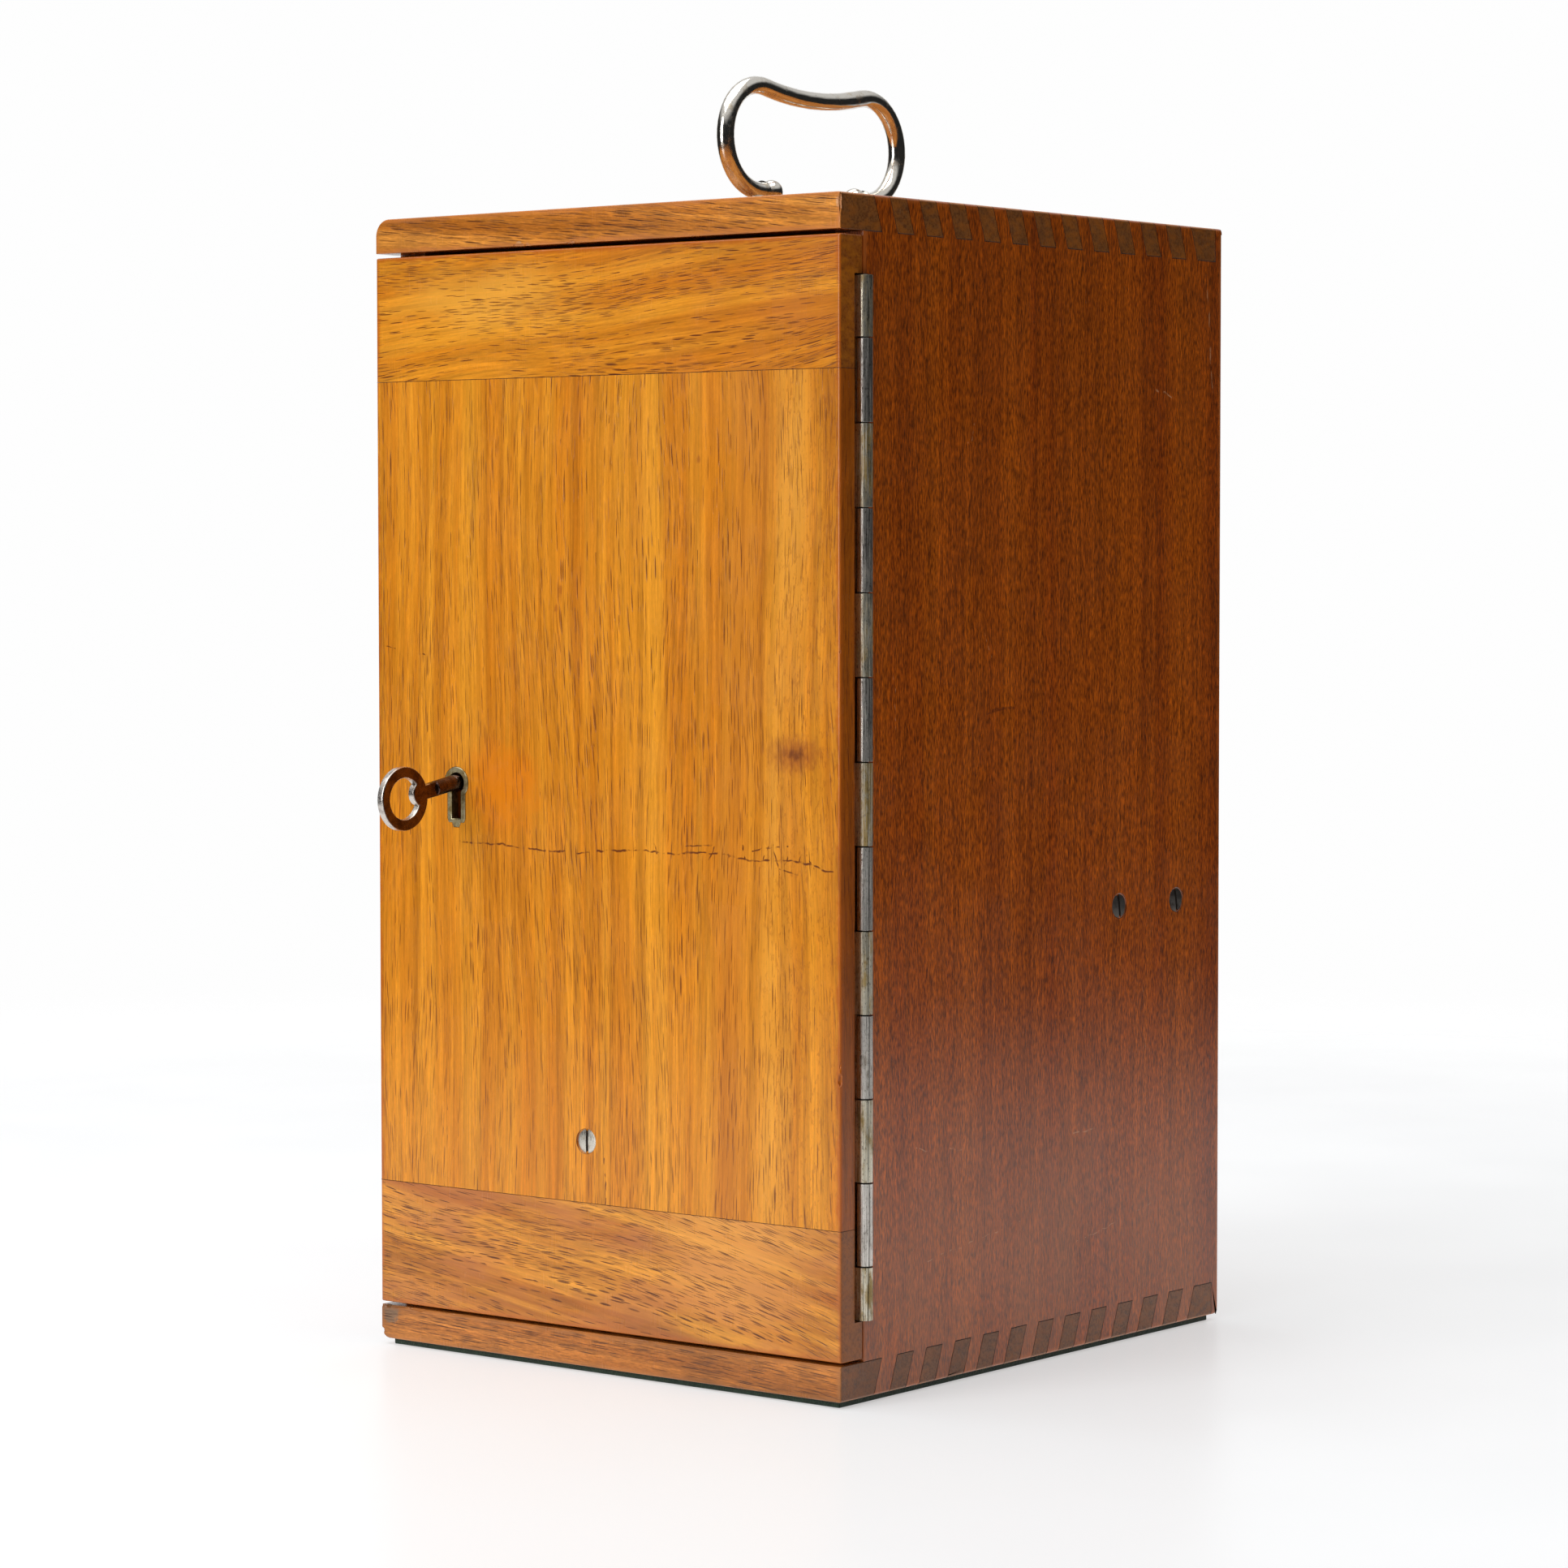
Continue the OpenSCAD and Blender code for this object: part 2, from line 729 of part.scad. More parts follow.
// The round-ended notch of the cradle, grown inward by the felt
module notch_shape(inset) {
    r = notch_w / 2 - inset;
    translate([0, cradle_y + notch_d - notch_w / 2, 0]) {
        circle(r = r);
        translate([-r, -notch_d]) square([2 * r, notch_d]);
    }
}

module cradle_board() {
    color("peru")
        difference() {
            block(
                [-x_in + cradle_gap, cradle_y, cradle_z0],
                [x_in - cradle_gap, y_back, cradle_z0 + board_t]
            );
            translate([0, 0, cradle_z0 - cut])
                linear_extrude(board_t + 2 * cut) notch_shape(0);
            both_ends()
                at_cradle_screws()
                    screw_hole(cradle_head_r, cradle_shank_r, cradle_screw_l);
        }
}

module cradle_felt() {
    color("darkgreen")
        translate([0, 0, cradle_z0])
            linear_extrude(board_t)
                intersection() {
                    difference() {
                        notch_shape(joint_gap);
                        notch_shape(notch_felt);
                    }
                    translate([-x_in, cradle_y]) square([2 * x_in, cradle_d]);
                }
}

module side_screws_right() {
    color("dimgray")
        at_cradle_screws()
            rotate([0, 0, cradle_slot_turn])
                screw(cradle_head_r, cradle_shank_r, cradle_screw_l);
}

module side_screws_left() {
    color("dimgray")
        mirror([1, 0, 0])
            at_cradle_screws()
                rotate([0, 0, cradle_slot_turn])
                    screw(cradle_head_r, cradle_shank_r, cradle_screw_l);
}

module side_cleat() {
    block(
        [cleat_x, cleat_y0, z_floor],
        [cleat_x + cleat_s, cleat_y1 + cleat_s, z_floor + cleat_s]
    );
}

module right_cleat() {
    color("burlywood")
        difference() {
            side_cleat();
            at_cleat_screws() screw_hole(lock_head_r, lock_shank_r, cleat_screw_l);
        }
}

module left_cleat() {
    color("burlywood")
        difference() {
            mirror([1, 0, 0]) side_cleat();
            at_cleat_screws() screw_hole(lock_head_r, lock_shank_r, cleat_screw_l);
        }
}

module rear_cleat() {
    color("burlywood")
        difference() {
            block(
                [-cleat_x + joint_gap, cleat_y1, z_floor],
                [cleat_x - joint_gap, cleat_y1 + cleat_s, z_floor + cleat_s]
            );
            at_cleat_screws() screw_hole(lock_head_r, lock_shank_r, cleat_screw_l);
        }
}

module cleat_screws() {
    color("gold") at_cleat_screws() screw(lock_head_r, lock_shank_r, cleat_screw_l);
}

// Strike plate, let in flush with the inner face of the left side
module strike_box(grow) {
    block(
        [-x_in - strike_t - grow, y_side - (grow > 0 ? cut : 0), strike_z - strike_h / 2 - grow],
        [-x_in + (grow > 0 ? cut : 0), strike_y1 + grow, strike_z + strike_h / 2 + grow]
    );
}

// The slot that the bolt enters, as deep as the bolt goes and a little more
module strike_slot() {
    reach = bolt_throw - lock_edge_gap + 2 * strike_gap;
    block(
        [-x_in - reach, bolt_y0 - strike_gap, bolt_z0 - strike_gap],
        [-x_in + cut, bolt_y1 + strike_gap, bolt_z1 + strike_gap]
    );
}

module strike_mortise() {
    strike_box(joint_gap);
    strike_slot();
}

module at_strike_screws() {
    for (side = [-1, 1])
        translate([-x_in, (bolt_y0 + bolt_y1) / 2, strike_z + side * strike_screw_z])
            rotate([0, 90, 0]) children();
}

module strike_plate() {
    color("goldenrod")
        difference() {
            strike_box(0);
            strike_slot();
            at_strike_screws() screw_hole(lock_head_r, lock_shank_r, strike_screw_l);
        }
}

module strike_screws() {
    color("gold") at_strike_screws() screw(lock_head_r, lock_shank_r, strike_screw_l);
}

// Where knuckle k starts and ends, counted up from the bottom of the hinge
function knuckle_z(k) =
    k == 0 ? hinge_z0 : min(hinge_z0 + hinge_first + (k - 1) * knuckle_pitch, hinge_z1);

// A stack of cylinders on the hinge axis at the even or the odd knuckles
module knuckles(parity, r, trim) {
    for (k = [parity : 2 : knuckle_count - 1])
        translate([hinge_x, hinge_y, knuckle_z(k) + trim])
            cylinder(r = r, h = knuckle_z(k + 1) - knuckle_z(k) - 2 * trim);
}

// The round groove in the wood beside the knuckles
module knuckle_room() {
    translate([hinge_x, hinge_y, hinge_z0 - mortise_gap])
        cylinder(r = knuckle_r + mortise_gap, h = hinge_l + 2 * mortise_gap);
}

// The square rebate in the door's edge, deeper than the knuckles are round
module door_rebate() {
    block(
        [hinge_x - knuckle_flat - mortise_gap, door_back - door_rebate_d, hinge_z0 - mortise_gap],
        [x_out + cut, door_back + cut, hinge_z1 + mortise_gap]
    );
}

// The flats that join the door's knuckles to their leaf in front of the pin
module knuckle_flats() {
    for (k = [0 : 2 : knuckle_count - 1])
        block(
            [
                hinge_x - knuckle_flat,
                hinge_y - knuckle_r + knuckle_flat_set,
                knuckle_z(k) + knuckle_gap / 2
            ],
            [hinge_x, hinge_y - leaf_gap / 2, knuckle_z(k + 1) - knuckle_gap / 2]
        );
}

// One leaf with its own knuckles, and clear of the other leaf's
module hinge_leaf(parity, y0) {
    difference() {
        union() {
            block([leaf_x, y0, hinge_z0], [hinge_x, y0 + leaf_t, hinge_z1]);
            knuckles(parity, knuckle_r, knuckle_gap / 2);
            if (parity == 0)
                knuckle_flats();
        }
        knuckles(1 - parity, knuckle_r + mortise_gap, -knuckle_gap / 2);
        translate([hinge_x, hinge_y, hinge_z0 - cut])
            cylinder(r = hinge_pin_r + hinge_pin_gap, h = hinge_l + 2 * cut);
        children();
    }
}

module at_hinge_screws() {
    for (k = [0 : hinge_screw_count - 1])
        translate([leaf_mid_x, 0, hinge_screw_z0 + k * hinge_screw_pitch]) children();
}

// Heads face forward, flush with the leaf on the side board
module at_case_hinge_screws() {
    at_hinge_screws()
        translate([0, hinge_y + leaf_gap / 2, 0]) face_front() children();
}

// Heads face back, flush with the leaf on the door
module at_door_hinge_screws() {
    at_hinge_screws()
        translate([0, hinge_y - leaf_gap / 2, 0]) face_back() children();
}

module hinge_leaf_case() {
    color("dimgray")
        hinge_leaf(1, hinge_y + leaf_gap / 2)
            at_case_hinge_screws()
                screw_hole(hinge_head_r, hinge_shank_r, hinge_case_screw_l);
}

module hinge_leaf_door() {
    color("darkkhaki")
        hinge_leaf(0, hinge_y - leaf_gap / 2 - leaf_t)
            at_door_hinge_screws()
                screw_hole(hinge_head_r, hinge_shank_r, hinge_screw_l);
}

module hinge_screws_case() {
    color("gray")
        at_case_hinge_screws() screw(hinge_head_r, hinge_shank_r, hinge_case_screw_l);
}

module hinge_screws_door() {
    color("gray")
        at_door_hinge_screws() screw(hinge_head_r, hinge_shank_r, hinge_screw_l);
}

module hinge_pin() {
    color("gray")
        translate([hinge_x, hinge_y, hinge_z0]) cylinder(r = hinge_pin_r, h = hinge_l);
}

// A post: nut end, shank through the board, flange, neck and drilled ball
module handle_post() {
    color("silver")
        difference() {
            union() {
                translate([0, 0, shank_z])
                    cylinder(r = shank_r, h = pivot_z - shank_z);
                translate([0, 0, case_h]) cylinder(r = flange_r, h = flange_t);
                translate([0, 0, pivot_z]) sphere(r = ball_r);
            }
            translate([0, 0, pivot_z])
                face_back()
                    translate([0, 0, ball_r - stub_l])
                        cylinder(r = stub_r + stub_gap, h = stub_l + cut);
        }
}

module handle_post_rear() {
    translate([0, handle_back + ball_y, 0]) handle_post();
}

module handle_post_front() {
    translate([0, handle_back - ball_y, 0]) mirror([0, 1, 0]) handle_post();
}

module handle_washers() {
    color("silver")
        at_posts()
            translate([0, 0, z_ceiling - washer_t])
                difference() {
                    cylinder(r = washer_r, h = washer_t);
                    translate([0, 0, -cut])
                        cylinder(r = shank_r + shank_gap, h = washer_t + 2 * cut);
                }
}

module handle_nuts() {
    color("gold")
        at_posts()
            translate([0, 0, z_ceiling - washer_t - nut_h])
                difference() {
                    cylinder(r = nut_w / 2, h = nut_h, $fn = 6);
                    translate([0, 0, -cut])
                        cylinder(r = shank_r + screw_gap, h = nut_h + 2 * cut);
                }
}

// Stations along half of the bail, from its collar to the middle of the grip.
// Each is a point and the outward normal there, in Y and Z from the pivot.
function bail_stations() = concat(
    [[[rod_end + collar_w / 2, 0], [0, -1]]],
    [
        for (k = [0 : bend_steps])
            let (a = -90 + k * (180 + dip_angle) / bend_steps, n = [cos(a), sin(a)])
                [[bend_y, bail_bend_r] + bail_bend_r * n, n]
    ],
    [
        for (k = [0 : dip_steps])
            let (a = -90 + dip_angle * (1 - k / dip_steps), n = [-cos(a), -sin(a)])
                [[0, bail_bend_r + dip_z] - dip_r * n, n]
    ]
);

// The same stations on the other half, in the other order
function mirrored(stations) = [
    for (k = [len(stations) - 2 : -1 : 0])
        [[-stations[k][0][0], stations[k][0][1]], [-stations[k][1][0], stations[k][1][1]]]
];

// One tube swept through the stations with a round section
module swept_rod(stations, r, sides) {
    rings = len(stations);
    points = [
        for (s = stations)
            for (k = [0 : sides - 1])
                let (a = 360 * k / sides, lift = r * sin(a))
                    [r * cos(a), s[0][0] + lift * s[1][0], s[0][1] + lift * s[1][1]]
    ];
    walls = [
        for (i = [0 : rings - 2])
            for (k = [0 : sides - 1])
                let (a = i * sides + k, b = i * sides + (k + 1) % sides)
                    each [[a, a + sides, b + sides], [a, b + sides, b]]
    ];
    first = [for (k = [1 : sides - 2]) [0, k, k + 1]];
    last = [
        for (k = [1 : sides - 2])
            [(rings - 1) * sides, (rings - 1) * sides + k + 1, (rings - 1) * sides + k]
    ];
    polyhedron(points = points, faces = concat(walls, first, last));
}

// The collar and the stub at one end of the bail
module bail_end() {
    translate([0, rod_end, pivot_z]) face_back() cylinder(r = collar_r, h = collar_w);
    translate([0, ball_y + ball_r - stub_l + stub_end_gap, pivot_z])
        face_back() cylinder(r = stub_r, h = stub_l + collar_w / 2);
}

module handle_bail() {
    half = bail_stations();
    color("silver")
        translate([0, handle_back, 0]) {
            translate([0, 0, pivot_z])
                swept_rod(concat(half, mirrored(half)), bail_r, rod_sides);
            bail_end();
            mirror([0, 1, 0]) bail_end();
        }
}

// A keyhole through the door: a round with a slot below it, along Y
module keyhole(y0, y1, grow = 0) {
    translate([key_x, y1, key_z])
        face_front() cylinder(r = keyhole_r + grow, h = y1 - y0);
    block(
        [key_x - keyhole_slot / 2 - grow, y0, key_z - keyhole_drop - grow],
        [key_x + keyhole_slot / 2 + grow, y1, key_z]
    );
}

// The outline of the keyhole liner: a round head, a narrower skirt, a stepped foot
module liner_outline(grow = 0) {
    r = liner_w / 2 + grow;
    half = liner_skirt_w / 2 + grow;
    low = liner_h - liner_w / 2 + grow;
    waist = acos(half / r);
    step = (180 + 2 * waist) / 32;
    polygon(concat(
        [for (k = [0 : 32]) [r * cos(k * step - waist), r * sin(k * step - waist)]],
        [
            [-half, -keyhole_drop], [-half + liner_step / 2, -keyhole_drop - liner_step],
            [-liner_tip - liner_step / 2, -keyhole_drop - liner_step],
            [-liner_tip, -low], [liner_tip, -low],
            [liner_tip + liner_step / 2, -keyhole_drop - liner_step],
            [half - liner_step / 2, -keyhole_drop - liner_step], [half, -keyhole_drop]
        ]
    ));
}

// A flat shape drawn in X and Z from the key's axis, made solid between two planes
module on_key_axis(y0, y1) {
    translate([key_x, y1, key_z]) face_front() linear_extrude(y1 - y0) children();
}

module escutcheon() {
    color("tan")
        difference() {
            on_key_axis(y_front - liner_proud, y_front + liner_d) liner_outline();
            keyhole(y_front - cut, y_front + liner_d + cut);
        }
}

// The shape shared by the door's three pieces: hinge mortise and screw holes
module door_blank(z0, z1) {
    difference() {
        block([-x_out, y_front, z0], [x_out, door_back, z1]);
        block(
            [leaf_x - mortise_gap, hinge_y - leaf_gap / 2 - leaf_t, hinge_z0 - mortise_gap],
            [x_out + cut, door_back + cut, hinge_z1 + mortise_gap]
        );
        door_rebate();
        at_door_hinge_screws() screw_hole(hinge_head_r, hinge_shank_r, hinge_screw_l);
    }
}

// A tongue or its groove, above z0
module tongue(z0, z1, grow = 0) {
    block(
        [-tongue_x - grow, tongue_y - tongue_t / 2 - grow, z0],
        [tongue_x + grow, tongue_y + tongue_t / 2 + grow, z1]
    );
}

module door_panel() {
    color("goldenrod")
        difference() {
            union() {
                door_blank(panel_z0 + joint_gap, panel_z1 - joint_gap);
                tongue(panel_z0 - tongue_l, panel_z1 + tongue_l);
            }
            keyhole(y_front - cut, door_back + cut, mortise_gap);
            on_key_axis(y_front - cut, y_front + liner_d + joint_gap)
                liner_outline(joint_gap);
            at_door_block_screw()
                screw_hole(door_head_r, door_shank_r, door_screw_l, cut + door_screw_sink);
            at_lock_screws() screw_hole(lock_head_r, lock_shank_r, lock_screw_l);
        }
}

module door_top_rail() {
    color("darkgoldenrod")
        difference() {
            door_blank(panel_z1, door_z1);
            tongue(panel_z1 - cut, panel_z1 + tongue_l + groove_gap, groove_gap);
        }
}

module door_bottom_rail() {
    color("darkgoldenrod")
        difference() {
            door_blank(door_z0, panel_z0);
            tongue(panel_z0 - tongue_l - groove_gap, panel_z0 + cut, groove_gap);
        }
}

module at_lock_screws() {
    for (x = [lock_x0 + lock_screw_end, lock_x1 - lock_screw_end])
        for (z = [key_z - cap_down - flange_h / 2, key_z + cap_up + flange_h / 2])
            translate([x, cap_y0, z]) face_back() children();
}

module lock_plate() {
    color("goldenrod")
        difference() {
            block(
                [lock_x0, door_back, key_z - cap_down - flange_h],
                [lock_x1, cap_y0, key_z + cap_up + flange_h]
            );
            keyhole(door_back - cut, cap_y0 + cut, mortise_gap);
            at_lock_screws() screw_hole(lock_head_r, lock_shank_r, lock_screw_l);
            translate([stud_at, 0, strike_z])
                translate([0, cap_y0 + cut, 0])
                    face_front() cylinder(r = stud_r - bolt_gap, h = plate_t + 2 * cut);
        }
}

module lock_cap() {
    color("goldenrod")
        difference() {
            block([lock_x0, cap_y0, key_z - cap_down], [lock_x1, cap_y1, key_z + cap_up]);
            block(
                [lock_x0 + cap_wall, cap_y0 - cut, key_z - cap_down + cap_wall],
                [lock_x1 - cap_wall, cap_in_y, key_z + cap_up - cap_wall]
            );
            block(
                [lock_x0 - cut, bolt_y0 - bolt_gap, bolt_z0 - bolt_gap],
                [lock_x0 + 2 * cap_wall, bolt_y1 + bolt_gap, bolt_z1 + bolt_gap]
            );
            translate([key_x, cap_y1 + cut, key_z])
                face_front()
                    cylinder(r = drill_r + drill_gap, h = cap_wall + 2 * cut);
        }
}

// A bent strip between the cap and the top of the bolt
module lock_spring() {
    half = spring_l / 2;
    low = bolt_up + bolt_h + bolt_gap;
    high = cap_up - cap_wall - joint_gap;
    color("lightsteelblue")
        on_key_axis(bolt_y0, bolt_y1)
            polygon([
                [-half, high], [0, low + spring_t], [half, high],
                [half, high - spring_t], [0, low], [-half, high - spring_t]
            ]);
}

// A shouldered stud riveted in the plate, in the bolt's slot
module lock_stud() {
    color("gray") {
        translate([stud_at, cap_in_y - bolt_gap, strike_z])
            face_front() cylinder(r = stud_r, h = cap_in_y - bolt_gap - cap_y0);
        translate([stud_at, cap_y0 + joint_gap, strike_z])
            face_front()
                cylinder(r = stud_r - bolt_gap - screw_gap, h = plate_t + joint_gap);
    }
}

module lock_screws() {
    color("gold") at_lock_screws() screw(lock_head_r, lock_shank_r, lock_screw_l);
}

module at_door_block_screw() {
    translate([block_x, y_front + door_screw_sink, block_z]) face_front() children();
}

module door_block() {
    color("burlywood")
        difference() {
            block(
                [block_x - block_w / 2, door_back, block_z - block_h / 2],
                [block_x + block_w / 2, door_back + block_d, block_z + block_h / 2]
            );
            at_door_block_screw() screw_hole(door_head_r, door_shank_r, door_screw_l);
        }
}

module door_pad() {
    color("darkgreen")
        block(
            [block_x - block_w / 2, door_back + block_d, block_z - block_h / 2],
            [block_x + block_w / 2, door_back + block_d + pad_t, block_z + block_h / 2]
        );
}

module door_block_screw() {
    color("silver")
        at_door_block_screw()
            rotate([0, 0, 90]) screw(door_head_r, door_shank_r, door_screw_l);
}

module lock_bolt() {
    color("khaki")
        difference() {
            block([lock_x0, bolt_y0, bolt_z0], [bolt_x1, bolt_y1, bolt_z1]);
            block(
                [notch_mid - notch_half, bolt_y0 - cut, bolt_z0 - cut],
                [notch_mid + notch_half, bolt_y1 + cut, notch_top]
            );
            block(
                [stud_at, bolt_y0 - cut, strike_z - stud_r - bolt_gap],
                [stud_at + bolt_throw, bolt_y1 + cut, strike_z + stud_r + bolt_gap]
            );
            for (x = [stud_at, stud_at + bolt_throw])
                translate([x, bolt_y1 + cut, strike_z])
                    face_front() cylinder(r = stud_r + bolt_gap, h = bolt_t + 2 * cut);
        }
}

// The stud that the pipe key fits over, held in the cap so that it can turn
module drill_pin() {
    color("gray") {
        translate([key_x, cap_y1 + drill_flange_t, key_z])
            face_front() cylinder(r = drill_r, h = drill_flange_t + cap_wall + drill_l);
        translate([key_x, cap_y1 + drill_flange_t, key_z])
            face_front() cylinder(r = drill_flange_r, h = drill_flange_t - drill_gap);
    }
}

// A flat oval
module oval(length, height) {
    polygon([
        for (a = [0 : 7.5 : 352.5])
            [length / 2 * cos(a), height / 2 * sin(a)]
    ]);
}

// The bow in the plane of the key: an oval ring with a lobe on the stem's side
module bow_shape() {
    inner = bow_l / 2 - bow_ring;
    difference() {
        oval(bow_l, bow_h);
        difference() {
            oval(bow_l - 2 * bow_ring, bow_h - 2 * bow_ring);
            translate([inner - bow_lobe + lobe_r, 0]) circle(r = lobe_r);
        }
    }
}

// Everything of the key in front of the bend droops about it
module key_front() {
    bend = y_front - key_bend_y;
    stem = bend - bow_end - bow_l + bow_ring / 2;
    translate([key_x, bend, key_z])
        rotate([key_droop, 0, 0]) {
            translate([0, key_lap, 0])
                face_front() cylinder(r = key_r, h = stem - neck_l + key_lap);
            block(
                [-bow_t / 2, -stem, -neck_h / 2],
                [bow_t / 2, neck_l - stem + key_lap, neck_h / 2]
            );
            translate([-bow_t / 2, bow_y - bend, 0])
                rotate([90, 0, 90]) linear_extrude(bow_t) bow_shape();
        }
}

module key() {
    color("saddlebrown")
        difference() {
            union() {
                translate([key_x, key_tip, key_z])
                    face_front() cylinder(r = key_r, h = key_tip - y_front + key_bend_y);
                key_front();
                block(
                    [key_x - bit_t / 2, bit_y - bit_l / 2, key_z - bit_r],
                    [key_x + bit_t / 2, bit_y + bit_l / 2, key_z]
                );
            }
            translate([key_x, key_tip + cut, key_z])
                face_front() cylinder(r = drill_r + key_bore_gap, h = key_bore_l + cut);
        }
}

top_board();
bottom_board();
left_side();
right_side();
back_panel();
back_screws();
base_felt();
cradle_board();
cradle_felt();
side_screws_right();
side_screws_left();
left_cleat();
right_cleat();
rear_cleat();
cleat_screws();
strike_plate();
strike_screws();
hinge_leaf_case();
hinge_screws_case();
hinge_pin();
handle_post_front();
handle_post_rear();
handle_washers();
handle_nuts();
door_panel();
door_top_rail();
door_bottom_rail();
hinge_leaf_door();
hinge_screws_door();
escutcheon();
lock_plate();
lock_cap();
lock_spring();
lock_stud();
lock_screws();
door_block();
door_pad();
door_block_screw();
lock_bolt();
drill_pin();
key();
handle_bail();
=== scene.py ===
import math
import random

import bmesh
import bpy
from mathutils import Matrix, Vector, noise
from mathutils.kdtree import KDTree


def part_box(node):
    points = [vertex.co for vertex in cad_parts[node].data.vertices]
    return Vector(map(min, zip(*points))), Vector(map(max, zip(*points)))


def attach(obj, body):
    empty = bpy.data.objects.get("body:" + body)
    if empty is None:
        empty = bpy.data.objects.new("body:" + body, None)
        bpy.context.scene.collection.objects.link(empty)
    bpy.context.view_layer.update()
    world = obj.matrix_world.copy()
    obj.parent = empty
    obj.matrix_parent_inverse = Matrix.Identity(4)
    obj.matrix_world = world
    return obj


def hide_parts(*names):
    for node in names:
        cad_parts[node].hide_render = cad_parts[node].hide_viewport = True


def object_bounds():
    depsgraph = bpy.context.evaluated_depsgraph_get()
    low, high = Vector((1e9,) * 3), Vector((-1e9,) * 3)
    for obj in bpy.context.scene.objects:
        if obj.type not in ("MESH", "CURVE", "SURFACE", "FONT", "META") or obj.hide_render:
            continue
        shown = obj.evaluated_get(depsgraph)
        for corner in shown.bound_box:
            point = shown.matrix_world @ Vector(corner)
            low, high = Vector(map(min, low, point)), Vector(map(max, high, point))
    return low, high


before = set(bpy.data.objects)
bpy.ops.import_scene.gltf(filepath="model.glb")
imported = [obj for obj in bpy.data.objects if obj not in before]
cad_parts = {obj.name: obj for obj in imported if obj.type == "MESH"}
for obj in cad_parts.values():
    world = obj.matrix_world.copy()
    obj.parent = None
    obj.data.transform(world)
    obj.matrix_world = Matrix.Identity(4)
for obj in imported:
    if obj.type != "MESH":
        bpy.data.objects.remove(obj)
cad_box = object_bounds()
MM = 0.001


# The bottom board: mahogany with the grain across the case and slanting fingers
# sawn into both ends. Its arrises are rubbed round, splinters have come off its
# front edge, and the left corner is bruised.
class Graph:
    """A node tree, with short ways to add nodes to it."""

    def __init__(self, tree):
        self.tree = tree

    def put(self, kind, values=(), **settings):
        """Adds a node. values holds its inputs, by name or number: sockets or plain values."""
        made = self.tree.nodes.new(kind)
        for key, value in settings.items():
            setattr(made, key, value)
        for key, value in dict(values).items():
            if isinstance(value, bpy.types.NodeSocket):
                self.tree.links.new(value, made.inputs[key])
            else:
                made.inputs[key].default_value = value
        return made

    def maths(self, operation, *values, clamp=False):
        made = self.put("ShaderNodeMath", enumerate(values), operation=operation)
        made.use_clamp = clamp
        return made.outputs[0]

    def times(self, a, b):
        return self.maths("MULTIPLY", a, b)

    def plus(self, a, b):
        return self.maths("ADD", a, b)

    def minus(self, a, b):
        return self.maths("SUBTRACT", a, b)

    def vector(self, operation, *values):
        made = self.put("ShaderNodeVectorMath", enumerate(values), operation=operation)
        single = operation in ("LENGTH", "DISTANCE", "DOT_PRODUCT")
        return made.outputs["Value" if single else "Vector"]

    def noise(self, at, stretch, detail=2.0, roughness=0.5):
        """Noise whose grains are 1 / stretch metres long along each axis."""
        place = self.vector("MULTIPLY", at, stretch)
        values = {"Vector": place, "Scale": 1.0, "Detail": detail, "Roughness": roughness}
        return self.put("ShaderNodeTexNoise", values).outputs["Fac"]

    def remap(self, value, low, high, to_low=0.0, to_high=1.0, curve="SMOOTHSTEP"):
        values = {0: value, 1: low, 2: high, 3: to_low, 4: to_high}
        made = self.put("ShaderNodeMapRange", values, interpolation_type=curve, clamp=True)
        return made.outputs["Result"]

    def mix(self, factor, a, b, blend="MIX"):
        made = self.put("ShaderNodeMix", data_type="RGBA", blend_type=blend)
        for key, value in {0: factor, 6: a, 7: b}.items():
            if isinstance(value, bpy.types.NodeSocket):
                self.tree.links.new(value, made.inputs[key])
            else:
                made.inputs[key].default_value = value
        return made.outputs[2]

    def parts(self, at):
        return self.put("ShaderNodeSeparateXYZ", {0: at}).outputs

    def group(self, tree, **values):
        names = {key.replace("_", " "): value for key, value in values.items()}
        made = self.put("ShaderNodeGroup", node_tree=tree)
        for key, value in names.items():
            if isinstance(value, bpy.types.NodeSocket):
                self.tree.links.new(value, made.inputs[key])
            else:
                made.inputs[key].default_value = value
        return made.outputs


SOCKETS = {"value": "NodeSocketFloat", "vector": "NodeSocketVector", "colour": "NodeSocketColor"}


def new_group(name, inputs, outputs):
    """A shader group and its graph, with the sockets that go in and those that come out."""
    tree = bpy.data.node_groups.new(name, "ShaderNodeTree")
    for label, kind in inputs.items():
        tree.interface.new_socket(label, in_out="INPUT", socket_type=SOCKETS[kind])
    for label, kind in outputs.items():
        tree.interface.new_socket(label, in_out="OUTPUT", socket_type=SOCKETS[kind])
    graph = Graph(tree)
    return tree, graph, graph.put("NodeGroupInput").outputs, graph.put("NodeGroupOutput").inputs


def finish_group(graph, ends, **results):
    for key, socket in results.items():
        graph.tree.links.new(socket, ends[key.replace("_", " ")])


def tint(red, green, blue):
    """A colour as the eye sees it, from 0 to 255, as the linear colour of a shader."""
    def linear(c):
        c /= 255
        return c / 12.92 if c <= 0.04045 else ((c + 0.055) / 1.055) ** 2.4
    return (linear(red), linear(green), linear(blue), 1.0)


def new_material(name):
    """A material with one Principled shader: the material, its graph and the shader."""
    made = bpy.data.materials.new(name)
    made.use_nodes = True
    graph = Graph(made.node_tree)
    return made, graph, made.node_tree.nodes["Principled BSDF"]


def wire(graph, shader, **sockets):
    for key, socket in sockets.items():
        graph.tree.links.new(socket, shader.inputs[key.replace("_", " ")])


